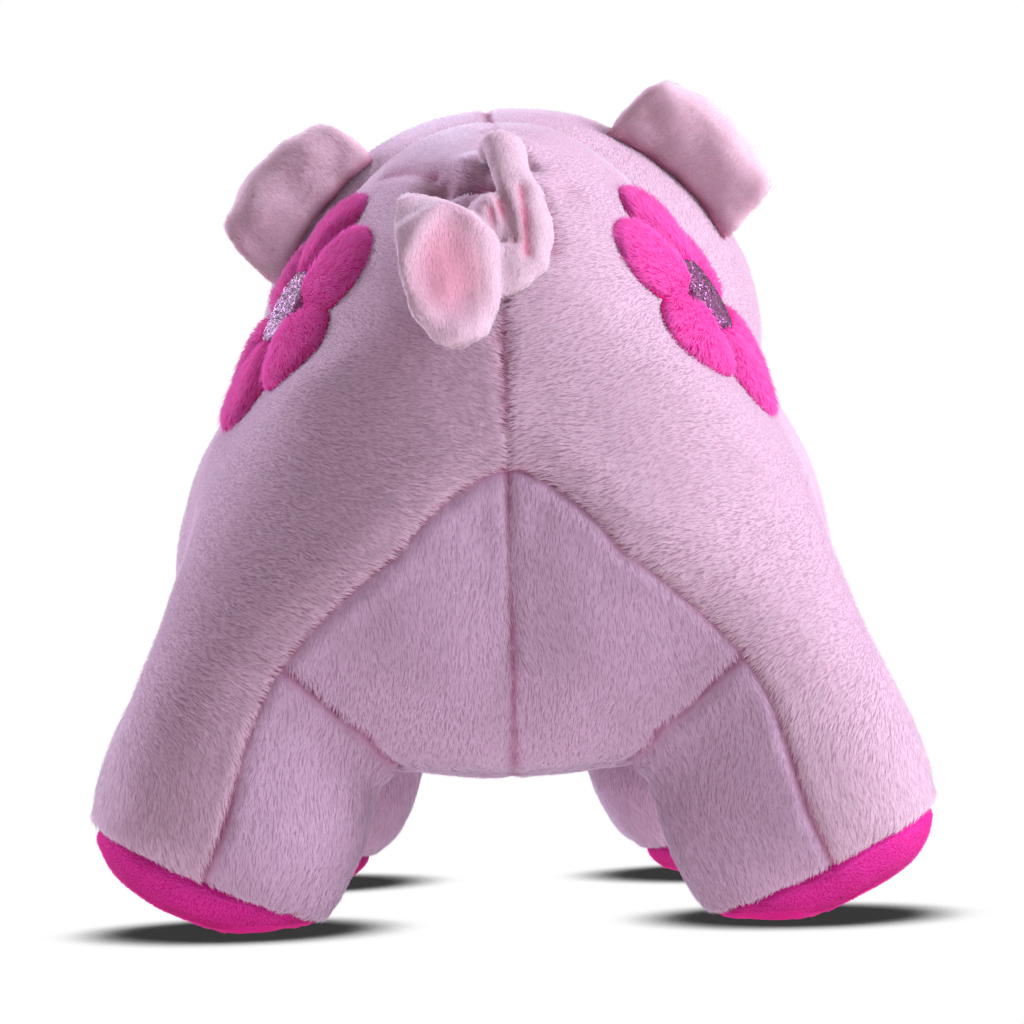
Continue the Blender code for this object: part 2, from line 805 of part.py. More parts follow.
def sheet_pair(name_a, name_b, grid, normals, halves, origin, material_a, material_b):
    """Two layers of fabric laid face to face on one grid of points, each its own closed piece."""
    rows, columns = len(grid), len(grid[0])
    for name, side, material in ((name_a, 1, material_a), (name_b, -1, material_b)):
        near, far = [], []
        for r in range(rows):
            for c in range(columns):
                normal = normals[r][c] * side
                near.append(grid[r][c] + normal * SEAM_GAP / 2 - origin)
                far.append(grid[r][c] + normal * halves[r][c] - origin)
        count = rows * columns
        faces = []
        for r in range(rows - 1):
            for c in range(columns - 1):
                a = r * columns + c
                quad = [a, a + 1, a + columns + 1, a + columns]
                faces.append([i + count for i in quad])
                faces.append(quad[::-1])
        rim = [c for c in range(columns)]
        rim += [r * columns + columns - 1 for r in range(1, rows)]
        rim += [(rows - 1) * columns + c for c in range(columns - 2, -1, -1)]
        rim += [r * columns for r in range(rows - 2, 0, -1)]
        for a, b in zip(rim, rim[1:] + rim[:1]):
            faces.append([a, b, b + count, a + count])
        item = mesh_object(name, near + far, faces, material)
        item.location = origin
        face_outward(item)


def ear(side, side_name, tree, outside, inside):
    """A folded ear of two layers. Returns its hinge point and axis, which is its base seam."""
    columns, straight, turn_steps, flap_steps = 5, 2, 4, 4
    aim = head_direction((side * math.sin(EAR_AZIMUTH), 0, math.cos(EAR_AZIMUTH)))
    out = Vector((side * math.sin(EAR_TILT), 0, math.cos(EAR_TILT)))
    base = Vector((side * math.cos(EAR_TILT), 0, -math.sin(EAR_TILT)))
    ahead = Vector((0, -1, 0))
    middle = HEAD_CENTRE + Vector((0, EAR_SETBACK, 0))
    spot, _, _, _ = tree.ray_cast(middle + aim * FAR_OFF, -aim)

    def ground(across):
        flat = spot + base * across
        hit, _, _, _ = tree.ray_cast(flat + out * FAR_OFF, -out)
        return (hit - flat).dot(out)

    heights = [ground(EAR_BASE_HALF_WIDTH * s) for s in (-1.0, -0.5, 0.0, 0.5, 1.0)]
    seat = (max(heights) + min(heights)) / 2
    hinge = spot + out * (seat + EAR_CLEARANCE + EAR_EDGE_THICKNESS)
    path = [(0.0, 0.0, 0.0)]
    for step in range(1, straight + 1):
        path.append((EAR_RISE * step / straight, 0.0, 0.0))
    for step in range(1, turn_steps + 1):
        angle = EAR_FOLD_TURN * step / turn_steps
        rise = EAR_RISE + EAR_FOLD_RADIUS * math.sin(angle)
        path.append((rise, EAR_FOLD_RADIUS * (1 - math.cos(angle)), angle))
    top, forward, angle = path[-1]
    for step in range(1, flap_steps + 1):
        run = EAR_FLAP * step / flap_steps
        path.append((top + run * math.cos(angle), forward + run * math.sin(angle), angle))
    rows = len(path)
    fold_row = straight + turn_steps
    grid, normals, halves = [], [], []
    for row, (rise, forth, angle) in enumerate(path):
        if row <= fold_row:
            share = row / fold_row
            half = EAR_BASE_HALF_WIDTH + (EAR_FOLD_HALF_WIDTH - EAR_BASE_HALF_WIDTH) * share
        else:
            share = (row - fold_row) / flap_steps
            half = EAR_FOLD_HALF_WIDTH * max(0.16, (1 - share**1.7)) ** 0.75
        line, facing, thick = [], [], []
        for column in range(columns):
            across = -1 + 2 * column / (columns - 1)
            lift = 0.0
            if row <= straight:
                gap = ground(half * across) - seat
                lift = gap * (1 - rise / EAR_RISE)
            point = hinge + base * half * across + out * (rise + lift) + ahead * forth
            line.append(point)
            facing.append((out * math.sin(angle) - ahead * math.cos(angle)).normalized())
            crown = math.sqrt(max(0.0, 1 - abs(across) ** 3))
            ends = min(1.0, row / 2) * min(1.0, (rows - 1 - row) / 2)
            puff = EAR_EDGE_THICKNESS
            puff += (EAR_HALF_THICKNESS - EAR_EDGE_THICKNESS) * crown * math.sqrt(ends)
            thick.append(puff)
        grid.append(line)
        normals.append(facing)
        halves.append(thick)
    names = (f"ear_back_{side_name}", f"ear_front_{side_name}")
    sheet_pair(*names, grid, normals, halves, hinge, outside, inside)
    return hinge, base * side


def tail_piece(tree, material):
    """The curled tail, swept along its path. Returns its hinge point."""
    start = Vector((0, FAR_OFF, BACK_HEIGHT - TAIL_ROOT_DROP))
    hit, normal, _, _ = tree.ray_cast(start, Vector((0, -1, 0)))
    hinge = hit + normal * (TAIL_CLEARANCE - SEAM_PINCH + TAIL_ROOT_CAP)
    root_out = hinge + normal * TAIL_ROOT_RISE

    def off(x, drop, stand):
        """A point that hangs below the root, held off the rump."""
        height = hinge.z - drop
        hit, _, _, _ = tree.ray_cast(Vector((x, FAR_OFF, height)), Vector((0, -1, 0)))
        return Vector((x, hit.y + stand, height))

    right, left = -TAIL_CURL * 0.75, TAIL_CURL
    knots = [
        (hinge, TAIL_ROOT_HALF * 1.5),
        (root_out, TAIL_ROOT_HALF * 1.5),
        (off(right * 0.50, TAIL_DROP * 0.26, TAIL_STANDOFF * 1.4), TAIL_HALF_WIDTH * 0.85),
        (off(right * 0.95, TAIL_DROP * 0.62, TAIL_STANDOFF), TAIL_HALF_WIDTH),
        (off(right * 0.80, TAIL_DROP * 1.00, TAIL_STANDOFF), TAIL_HALF_WIDTH),
        (off(left * 0.20, TAIL_DROP * 1.18, TAIL_STANDOFF), TAIL_HALF_WIDTH),
        (off(left * 1.10, TAIL_DROP * 1.02, TAIL_STANDOFF), TAIL_HALF_WIDTH * 1.05),
        (off(left * 1.38, TAIL_DROP * 0.74, TAIL_STANDOFF * 1.1), TAIL_HALF_WIDTH * 1.4),
        (off(left * 1.36, TAIL_DROP * 0.62, FLAP_STANDOFF * 0.62), FLAP_HALF_WIDTH * 0.93),
        (off(left * 1.36, TAIL_DROP * 0.76, FLAP_STANDOFF), FLAP_HALF_WIDTH),
    ]
    last = knots[-1][0]
    for share, width in ((0.35, 1.00), (0.70, 0.88), (1.0, 0.52)):
        below = last + Vector((-0.003 * share, 0.0015, -FLAP_LENGTH * share))
        knots.append((below, FLAP_HALF_WIDTH * width))
    centres, widths = [], []
    smooth = 2
    for k in range(len(knots) - 1):
        p0 = knots[max(k - 1, 0)][0]
        p1, p2 = knots[k][0], knots[k + 1][0]
        p3 = knots[min(k + 2, len(knots) - 1)][0]
        for step in range(smooth):
            t = step / smooth
            point = 0.5 * (
                2 * p1
                + (p2 - p0) * t
                + (2 * p0 - 5 * p1 + 4 * p2 - p3) * t**2
                + (3 * p1 - p0 - 3 * p2 + p3) * t**3
            )
            centres.append(point)
            widths.append(knots[k][1] + (knots[k + 1][1] - knots[k][1]) * t)
    centres.append(knots[-1][0])
    widths.append(knots[-1][1])
    sides, rows, points = 10, [], []
    across = Vector((1, 0, 0))
    tangent = (centres[1] - centres[0]).normalized()
    for i, centre in enumerate(centres):
        before, after = centres[max(i - 1, 0)], centres[min(i + 1, len(centres) - 1)]
        new_tangent = (after - before).normalized()
        across = tangent.rotation_difference(new_tangent) @ across
        tangent = new_tangent
        across = (across - tangent * across.dot(tangent)).normalized()
        flat = tangent.cross(across)
        grow = min(1.0, (i + 1) / 4)
        thick = TAIL_ROOT_HALF + (TAIL_HALF_THICKNESS - TAIL_ROOT_HALF) * grow
        row = []
        for step in range(sides):
            angle = 2 * math.pi * step / sides
            row.append(len(points))
            ring = across * widths[i] * math.cos(angle) + flat * thick * math.sin(angle)
            points.append(centre + ring - hinge)
        rows.append(row)
    first = normal * -TAIL_ROOT_CAP
    final = (centres[-1] - centres[-2]).normalized() * TAIL_HALF_THICKNESS * 0.8
    faces = []
    for low, high in zip(rows, rows[1:]):
        for step in range(sides):
            after = (step + 1) % sides
            faces.append([low[step], low[after], high[after], high[step]])
    for row, centre, push, flip in ((rows[0], centres[0], first, True), (rows[-1], centres[-1], final, False)):
        points.append(centre + push - hinge)
        for step in range(sides):
            after = (step + 1) % sides
            face = [row[step], row[after], len(points) - 1]
            faces.append(face[::-1] if flip else face)
    item = mesh_object("tail", points, faces, material)
    item.location = hinge
    face_outward(item)
    return hinge


def move_to_middle():
    """Puts the middle of the toy's length and width over the origin."""
    spots = []
    for item in bpy.data.objects:
        spots += [item.location + vertex.co for vertex in item.data.vertices]
    shift = Vector()
    for axis in (0, 1):
        along = [spot[axis] for spot in spots]
        shift[axis] = -(min(along) + max(along)) / 2
    for item in bpy.data.objects:
        if item.location.length > 0:
            item.location += shift
        else:
            item.data.transform(Matrix.Translation(shift))
    return shift


def build():
    clear_scene()
    plush = fabric_material("plush_pink", (0.72, 0.46, 0.62))
    gusset = fabric_material("plush_gusset", (0.66, 0.40, 0.56))
    hot = fabric_material("plush_hot_pink", (0.85, 0.04, 0.36))
    filling = fabric_material("stuffing", (0.85, 0.85, 0.82))
    glitter = fabric_material("glitter_fabric", (0.28, 0.05, 0.16), 0.35, 0.3)
    eye_black = fabric_material("eye_plastic", (0.01, 0.01, 0.012), 0.08)
    washer_white = fabric_material("washer_plastic", (0.8, 0.8, 0.8), 0.4)
    thread = fabric_material("nostril_thread", (0.45, 0.06, 0.22), 0.6)

    cover = smooth_cover(build_cage())
    labels = sorted(set(cover.labels))
    cover_tree = tree_of(cover)

    for panel in sorted({panel for panel, _ in labels}):
        colour = plush
        if panel.startswith(("belly", "inner")):
            colour = gusset
        if panel.startswith("sole"):
            colour = hot
        item = cover.panel(panel, lambda mark: mark[0] == panel, FABRIC, colour)
        if panel.startswith("sole"):
            flatten_foot(item)

    depth = FABRIC + SEAM_GAP
    legs = {form for _, form in labels if form != "trunk"}
    leg_axes = {}
    for leg in legs:
        side = 1 if leg.endswith("left") else -1
        facing = 1 if "rear" in leg else -1
        leg_axes[leg] = (Vector((side * ROOT_TILT, 0, -ROOT_HALF_WIDTH)).normalized(), side, facing)

    def trunk_lid(middle):
        for axis, side, facing in leg_axes.values():
            if side * middle.x > 0 and facing * middle.y > 0:
                return axis * (-SEAM_GAP / 2)
        return Vector()

    cover.form("stuffing_trunk", lambda mark: mark[1] == "trunk", depth, filling, trunk_lid)
    for leg, (axis, _, _) in leg_axes.items():
        name = "stuffing_" + leg
        shift = axis * (SEAM_GAP / 2)
        cover.form(name, lambda mark: mark[1] == leg, depth, filling, lambda middle: shift)

    head = head_shell()
    head_tree = tree_of(head)
    trunk_cutter = offset_solid("trunk_cutter", cover, SEAM_GAP)
    snout = snout_shell()
    head_cutter = offset_solid("head_cutter", head, SEAM_GAP)

    eye_cutters = {}
    for side, side_name in ((1, "left"), (-1, "right")):
        aim = head_direction((side * EYE_SPREAD, -1.0, EYE_RAISE)).normalized()
        hit, normal, _, _ = head_tree.ray_cast(HEAD_CENTRE + aim * FAR_OFF, -aim)
        skin = hit
        seat = EYE_DOME * 0.35
        dome = [
            (0.0, CONFORM_GAP - EYE_STEM_LENGTH),
            (EYE_STEM_RADIUS, CONFORM_GAP - EYE_STEM_LENGTH),
            (EYE_STEM_RADIUS, CONFORM_GAP),
            (EYE_RADIUS * 0.93, CONFORM_GAP),
            (EYE_RADIUS, CONFORM_GAP + seat),
            (EYE_RADIUS * 0.88, CONFORM_GAP + EYE_DOME * 0.72),
            (EYE_RADIUS * 0.5, CONFORM_GAP + EYE_DOME * 0.95),
            (0.0, CONFORM_GAP + EYE_DOME),
        ]
        turned(f"eye_{side_name}", skin, normal, dome, eye_black)
        bore = EYE_STEM_RADIUS + STEM_CLEARANCE
        back = -FABRIC - WASHER_SEAT - WASHER_THICKNESS
        ring = [(bore, back), (WASHER_RADIUS, back)]
        ring += [(WASHER_RADIUS, back + WASHER_THICKNESS), (bore, back + WASHER_THICKNESS)]
        turned(f"eye_washer_{side_name}", skin, normal, ring, washer_white, closed_ring=True)
        deep = skin - normal * (EYE_STEM_LENGTH + 0.0010)
        stem = tube(f"stem_cutter_{side_name}", deep, skin + normal * 0.004, bore, None)
        pocket_low = skin + normal * (back - SEAM_GAP)
        pocket_wide = WASHER_RADIUS + SEAM_GAP
        pocket = tube(f"pocket_{side_name}", pocket_low, skin + normal * 0.004, pocket_wide, None, 20)
        eye_cutters[side_name] = (stem, pocket)

    for side_name in ("left", "right"):
        name = f"head_{side_name}"
        item = head.panel(name, lambda mark: mark == name, FABRIC, plush)
        cut_away(item, [trunk_cutter, eye_cutters[side_name][0]])
    stuffing = head.form("stuffing_head", lambda mark: True, depth, filling, None)
    cut_away(stuffing, [trunk_cutter] + [c for pair in eye_cutters.values() for c in pair])

    band = snout.panel("snout_band", lambda mark: mark == "side", FABRIC, plush)
    cut_away(band, [head_cutter])
    snout.panel("snout_face", lambda mark: mark == "end", FABRIC, hot)
    core = snout.form("stuffing_snout", lambda mark: True, depth, filling, None)
    cut_away(core, [head_cutter])

    snout_tree = tree_of(snout)
    face_aim = head_direction((0, -1, 0))
    up = head_direction((0, 0, 1))
    for side, side_name in ((1, "left"), (-1, "right")):
        spot = to_world((side * NOSTRIL_SPREAD, -HEAD_HALF_LENGTH - SNOUT_REACH, -SNOUT_DROP))
        steps = 12
        oval = []
        for step in range(steps):
            angle = 2 * math.pi * step / steps
            across, tall = math.cos(angle) / NOSTRIL_HALF_WIDTH, math.sin(angle) / NOSTRIL_HALF_HEIGHT
            oval.append(1 / math.hypot(across, tall))
        disc_on(
            snout_tree, f"nostril_{side_name}", spot, face_aim, up, oval, (1.0, 0.5),
            SEAM_GAP, NOSTRIL_THICKNESS, thread,
        )

    joints = {}
    for side, side_name in ((1, "left"), (-1, "right")):
        joints[f"ear_{side_name}"] = ear(side, side_name, head_tree, plush, gusset)
    joints["tail"] = (tail_piece(cover_tree, plush), Vector((1, 0, 0)))

    for side, side_name in ((1, "left"), (-1, "right")):
        along = RUMP_REACH - FLOWER_INSET - side * FLOWER_ASKEW
        seek = Vector((side * FAR_OFF, along, BACK_HEIGHT - FLOWER_DROP))
        hit, _, _, _ = cover_tree.ray_cast(seek, Vector((-side, 0, 0)))
        near = []
        for dy, dz in ((-0.02, 0.0), (0.02, 0.0), (0.0, -0.02), (0.0, 0.02)):
            spot, _, _, _ = cover_tree.ray_cast(seek + Vector((0, dy, dz)), Vector((-side, 0, 0)))
            near.append(spot)
        outward = (near[1] - near[0]).cross(near[3] - near[2]).normalized()
        if outward.x * side < 0:
            outward = -outward
        lean = Matrix.Rotation(side * FLOWER_TURN, 3, outward) @ Vector((0, 0, 1))
        petals = petal_outline(FLOWER_PETALS * PETAL_STEPS)
        disc_on(
            cover_tree, f"flower_{side_name}", hit, outward, lean, petals,
            (1.0, 0.8, 0.6, 0.4, 0.2), FLOWER_GAP, APPLIQUE, hot,
        )
        rim = [GLITTER_RADIUS] * 20
        disc_on(
            cover_tree, f"flower_centre_{side_name}", hit, outward, lean, rim,
            (1.0, 0.5), FLOWER_GAP + APPLIQUE + CONFORM_GAP, GLITTER_THICKNESS, glitter,
        )

    for item in list(bpy.data.objects):
        if "cutter" in item.name or item.name.startswith("pocket"):
            bpy.data.objects.remove(item)
    shift = move_to_middle()
    for name, (point, axis) in joints.items():
        place = [round(c, 5) for c in point + shift]
        print("joint", name, place, [round(c, 5) for c in axis])


build()
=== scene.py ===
# %% [markdown]
# # Plush pig
#
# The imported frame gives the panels, the stuffed forms and the three seams that move. This notebook
# sews a soft skin over them: the panels are welded into one cover, blown up a little by a cloth
# simulation, pulled in along their seams, and given a combed pile. Lengths are in metres.

# %% Frame
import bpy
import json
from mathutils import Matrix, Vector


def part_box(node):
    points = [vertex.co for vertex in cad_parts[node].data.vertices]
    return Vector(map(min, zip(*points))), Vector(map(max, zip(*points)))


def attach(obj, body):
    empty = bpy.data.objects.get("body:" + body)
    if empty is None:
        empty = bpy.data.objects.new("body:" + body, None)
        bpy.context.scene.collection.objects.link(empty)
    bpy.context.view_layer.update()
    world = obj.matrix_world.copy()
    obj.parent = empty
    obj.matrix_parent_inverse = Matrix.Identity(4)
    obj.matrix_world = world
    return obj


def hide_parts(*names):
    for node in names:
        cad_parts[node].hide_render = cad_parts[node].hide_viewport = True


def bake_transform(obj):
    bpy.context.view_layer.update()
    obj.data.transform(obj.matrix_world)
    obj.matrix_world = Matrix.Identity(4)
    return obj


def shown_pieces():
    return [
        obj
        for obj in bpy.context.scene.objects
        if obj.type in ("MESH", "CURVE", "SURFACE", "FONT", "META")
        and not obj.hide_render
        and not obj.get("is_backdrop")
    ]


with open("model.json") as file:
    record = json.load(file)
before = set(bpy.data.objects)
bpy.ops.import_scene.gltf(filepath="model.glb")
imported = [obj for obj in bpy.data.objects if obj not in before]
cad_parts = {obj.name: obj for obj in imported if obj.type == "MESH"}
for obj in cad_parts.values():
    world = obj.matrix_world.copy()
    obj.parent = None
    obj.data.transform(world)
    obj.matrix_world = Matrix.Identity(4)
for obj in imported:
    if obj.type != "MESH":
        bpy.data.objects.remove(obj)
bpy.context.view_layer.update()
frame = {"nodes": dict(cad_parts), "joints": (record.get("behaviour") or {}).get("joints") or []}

import json
import math

import bmesh
import bpy
import numpy as np
from mathutils import Matrix, Vector, kdtree, noise
from mathutils.bvhtree import BVHTree

# %% [markdown]
# ## Colours and materials
#
# One function turns a colour code into Blender's linear values and one adds a node.
#
# The body is minky plush, a knitted polyester with a short, dense, silky pile. It has no gloss, and
# its hairs let some light through, so its shadows are soft and warm. Every pile material gets
# lighter from root to tip. This is painted shade deep in the pile, and the backing between the
# hairs takes the root colour as painted shade too. It also differs a little from hair to hair and
# patch to patch. The gaps between tufts are painted shade: short darker strokes on a share of the
# hairs. They are drawn a little coarser than the real 0.2 mm.

# %% Material helpers
def shade(code):
    """A linear colour from an sRGB hex code."""
    parts = [int(code[i : i + 2], 16) / 255 for i in (1, 3, 5)]
    return [p / 12.92 if p <= 0.04045 else ((p + 0.055) / 1.055) ** 2.4 for p in parts] + [1.0]


def node(tree, kind, values=None, **settings):
    """Adds a node. A value that is a socket is linked, and any other is set."""
    made = tree.nodes.new(kind)
    for key, value in settings.items():
        setattr(made, key, value)
    for key, value in (values or {}).items():
        if isinstance(value, bpy.types.NodeSocket):
            tree.links.new(value, made.inputs[key])
        else:
            made.inputs[key].default_value = value
    return made


def new_material(name):
    made = bpy.data.materials.new(name)
    made.use_nodes = True
    tree = made.node_tree
    return made, tree, tree.nodes["Principled BSDF"]


def set_shader(shader, **values):
    for key, value in values.items():
        shader.inputs[key.replace("_", " ")].default_value = value


print("middle grey in linear light:", round(shade("#808080")[0], 3))


# %% Plush
GAP_SHADE_HAIRS = 0.16
SHADOW_GAPS = 0.85


def plush(name, root, tip, painted_shade_colour, patch=0.08, sheen=1.0, streak=0.0, even=0.9):
    """Pile with painted shade at the root and in the seams, and a different tint for each hair.

    The root colour is painted shade deep in the pile, and the backing between the hairs takes it
    too.
    The darker pink goes where seams, dents, folds and hollows would be in shade. The shading
    normal leans to the fabric's own by the share `even`, so that the hairs light up as one soft
    surface, and light reaches them from both sides. They cast only a thin shadow on each other, as
    drawn hairs are coarser than real ones. A patch of pile is up to `patch` darker, and a tuft up to
    `streak`. This also darkens a share of the hairs in short strokes, as painted shade in the gaps
    between tufts.
    """
    made, tree, shader = new_material(name)
    along = node(tree, "ShaderNodeAttribute", attribute_name="along").outputs["Fac"]
    tint = node(tree, "ShaderNodeAttribute", attribute_name="tint").outputs["Fac"]
    painted_shade = node(tree, "ShaderNodeAttribute", attribute_name="painted_shade").outputs["Fac"]
    rise = node(tree, "ShaderNodeAttribute", attribute_name="rise").outputs["Vector"]
    place = node(tree, "ShaderNodeTexCoord").outputs["Object"]
    cloud = {"Vector": place, "Scale": 42.0, "Detail": 4.0}
    cloud = node(tree, "ShaderNodeTexNoise", cloud).outputs[0]
    # Lighter from root to tip: the root colour is painted shade deep in the pile.
    climb = node(tree, "ShaderNodeMapRange", {"Value": along, "From Max": 0.7}).outputs[0]
    body = node(
        tree, "ShaderNodeMix", {0: climb, 6: shade(root), 7: shade(tip)}, data_type="RGBA"
    ).outputs[2]
    # Painted shade: a darker pink where seams, dents, folds and hollows are marked.
    body = node(
        tree, "ShaderNodeMix", {0: painted_shade, 6: body, 7: shade(painted_shade_colour)}, data_type="RGBA"
    ).outputs[2]
    # Painted shade in the gaps between tufts: a share of the hairs is darker in short strokes.
    gap_shade = node(
        tree, "ShaderNodeMapRange",
        {
            "Value": cloud, "From Min": 0.40, "From Max": 0.60,
            "To Min": 1 - 0.6 * streak, "To Max": 1 - 2 * streak,
        },
    ).outputs[0]
    hair = node(
        tree, "ShaderNodeMapRange",
        {"Value": tint, "From Max": GAP_SHADE_HAIRS, "To Min": gap_shade, "To Max": 1.02},
    ).outputs[0]
    lay = node(
        tree, "ShaderNodeMapRange",
        {"Value": cloud, "From Min": 0.3, "From Max": 0.7, "To Min": 1 - patch, "To Max": 1.0},
    ).outputs[0]
    value = node(tree, "ShaderNodeMath", {0: hair, 1: lay}, operation="MULTIPLY").outputs[0]
    drawn = node(tree, "ShaderNodeMapping", {"Vector": place, "Scale": (1.0, 1.0, 0.30)}).outputs[0]
    clump = {"Vector": drawn, "Scale": 620.0, "Detail": 2.0}
    clump = node(tree, "ShaderNodeTexNoise", clump).outputs[0]
    clump = node(
        tree, "ShaderNodeMapRange",
        {
            "Value": clump, "From Min": 0.35, "From Max": 0.65,
            "To Min": 1 - 0.5 * streak, "To Max": 1 + 0.5 * streak,
        },
    ).outputs[0]
    value = node(tree, "ShaderNodeMath", {0: value, 1: clump}, operation="MULTIPLY").outputs[0]
    final = node(tree, "ShaderNodeHueSaturation", {"Value": value, "Color": body}).outputs[0]
    tree.links.new(final, shader.inputs["Base Color"])
    flat = node(tree, "ShaderNodeNewGeometry").outputs["Normal"]
    soft = node(tree, "ShaderNodeMix", {0: even, 4: flat, 5: rise}, data_type="VECTOR").outputs[1]
    soft = node(tree, "ShaderNodeVectorMath", {0: soft}, operation="NORMALIZE").outputs[0]
    tree.links.new(soft, shader.inputs["Normal"])
    set_shader(shader, Roughness=0.8, Specular_IOR_Level=0.15)
    set_shader(shader, Sheen_Weight=sheen, Sheen_Roughness=0.40, Sheen_Tint=shade("#EAF4FF"))
    shadow = node(tree, "ShaderNodeLightPath").outputs["Is Shadow Ray"]
    is_hair = {0: tint, 1: 0.0001}
    is_hair = node(tree, "ShaderNodeMath", is_hair, operation="GREATER_THAN").outputs[0]
    thin = node(tree, "ShaderNodeMath", {0: shadow, 1: is_hair}, operation="MULTIPLY").outputs[0]
    thin = node(tree, "ShaderNodeMath", {0: thin, 1: SHADOW_GAPS}, operation="MULTIPLY").outputs[0]
    clear = node(tree, "ShaderNodeBsdfTransparent").outputs[0]
    under = {0: soft, "Scale": -1.0}
    under = node(tree, "ShaderNodeVectorMath", under, operation="SCALE").outputs[0]
    through = node(tree, "ShaderNodeBsdfTranslucent", {"Color": final, "Normal": under}).outputs[0]
    both = node(tree, "ShaderNodeMixShader", {0: 0.5, 1: shader.outputs[0], 2: through}).outputs[0]
    out = node(tree, "ShaderNodeMixShader", {0: thin, 1: both, 2: clear}).outputs[0]
    tree.links.new(out, tree.nodes["Material Output"].inputs["Surface"])
    return made


# The panels under the belly and inside the legs are a little cooler. The ears and the tail are
# warmer, and as they turn on their joints, their light follows their own shape more.
# The third colour of each pile is its painted shade.
PINK = plush("pile_pink", "#E6B4D0", "#F4D0E2", "#C86690", streak=0.09)
UNDER = plush("pile_under", "#DFAFD0", "#EDC8E2", "#C06892", streak=0.06)
BLUSH = plush("pile_blush", "#FABED6", "#FFDCEA", "#C65A86", even=0.65)
CURL = plush("pile_tail", "#EABCD2", "#FAD8E6", "#E0688E", even=0.65)
HOT = plush("pile_hot_pink", "#F0289E", "#FF4ABC", "#B01874", patch=0.10, sheen=0.10)
PETAL = plush("pile_petal", "#F4269A", "#FF6CC8", "#B01070", patch=0.16, sheen=0.20, streak=0.10)
print("plush:", ", ".join(m.name for m in (PINK, UNDER, BLUSH, CURL, HOT, PETAL)))


# %% Other materials
def plain(name, code, grain, spread, depth=0.0, **values):
    """A solid colour broken by grain, with a bump of the same grain."""
    made, tree, shader = new_material(name)
    place = node(tree, "ShaderNodeTexCoord").outputs["Object"]
    cloud = node(tree, "ShaderNodeTexNoise", {"Vector": place, "Scale": grain, "Detail": 4.0})
    value = node(
        tree, "ShaderNodeMapRange",
        {
            "Value": cloud.outputs[0], "From Min": 0.3, "From Max": 0.7,
            "To Min": 1 - spread, "To Max": 1 + spread,
        },
    ).outputs[0]
    final = node(tree, "ShaderNodeHueSaturation", {"Value": value, "Color": shade(code)}).outputs[0]
    tree.links.new(final, shader.inputs["Base Color"])
    if depth:
        bump = node(tree, "ShaderNodeBump", {"Height": cloud.outputs[0], "Distance": depth})
        tree.links.new(bump.outputs[0], shader.inputs["Normal"])
    set_shader(shader, **values)
    return made


def sequins(name):
    """Glitter flakes: each takes its own colour from the tint of its instance."""
    made, tree, shader = new_material(name)
    tint = node(tree, "ShaderNodeAttribute", attribute_name="tint").outputs["Fac"]
    ramp = node(tree, "ShaderNodeValToRGB", {"Fac": tint})
    ramp.color_ramp.elements[0].color = shade("#4C1438")
    ramp.color_ramp.elements[1].color = shade("#9868A4")
    ramp.color_ramp.elements.new(0.55).color = shade("#702C5C")
    tree.links.new(ramp.outputs[0], shader.inputs["Base Color"])
    set_shader(shader, Metallic=0.75, Roughness=0.28)
    return made


# Satin stitches are rayon thread, with a soft gloss. The glitter cloth is polyester film in flakes
# on a woven backing. The eyes are polished ABS under a clear coat, and their washers are plain
# moulded polyethylene.
THREAD = plain(
    "satin_thread", "#C81878", 900.0, 0.12, 0.00005, Roughness=0.75, Specular_IOR_Level=0.2
)
NOSE_THREAD = plain("nostril_thread", "#A01C62", 900.0, 0.12, 0.00005, Roughness=0.42)
GLITTER_BACK = plain("glitter_back", "#7A2C60", 600.0, 0.15, Roughness=0.5)
FLAKE = sequins("glitter_flake")
BLACK = plain(
    "eye_black", "#0B0A0C", 40.0, 0.10, Roughness=0.06, Coat_Weight=0.6, Coat_Roughness=0.03
)
WASHER = plain("washer_plastic", "#E6E4E8", 60.0, 0.04, Roughness=0.35)
print(len(bpy.data.materials), "materials")


# %% [markdown]
# ## Mesh helpers
#
# Points, normals and labels are read into arrays, so that one line of arithmetic moves a whole
# surface. A label is a material number, and says which sewn panel a face belongs to.

# %% Mesh helpers
def piece_of(name, data):
    item = bpy.data.objects.new(name, data)
    bpy.context.scene.collection.objects.link(item)
    return item


def mesh_of(name, points, faces):
    mesh = bpy.data.meshes.new(name)
    mesh.from_pydata([tuple(p) for p in points], [], [tuple(int(i) for i in f) for f in faces])
    mesh.update()
    return mesh


def mesh_from(name, body):
    """A mesh of a bmesh, which is freed."""
    mesh = bpy.data.meshes.new(name)
    body.to_mesh(mesh)
    body.free()
    return mesh


def settled(item):
    """The item's mesh with its modifiers worked out."""
    graph = bpy.context.evaluated_depsgraph_get()
    graph.update()
    return bpy.data.meshes.new_from_object(item.evaluated_get(graph))


def settle(item):
    mesh = settled(item)
    item.modifiers.clear()
    item.data = mesh


def read_vectors(rows, label):
    flat = np.zeros(len(rows) * 3)
    rows.foreach_get(label, flat)
    return flat.reshape(-1, 3)


def read_points(mesh):
    return read_vectors(mesh.vertices, "co")


def read_normals(mesh):
    return read_vectors(mesh.vertex_normals, "vector")


def write_points(mesh, points):
    mesh.vertices.foreach_set("co", np.asarray(points, float).ravel())
    mesh.update()


def read_labels(mesh):
    flat = np.zeros(len(mesh.polygons), dtype=np.int32)
    mesh.polygons.foreach_get("material_index", flat)
    return flat


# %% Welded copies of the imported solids
PACK_WELD = 0.00002


def solid(name):
    """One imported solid, welded."""
    body = bmesh.new()
    body.from_mesh(frame["nodes"][name].data)
    bmesh.ops.remove_doubles(body, verts=body.verts[:], dist=PACK_WELD)
    body.verts.index_update()
    return body


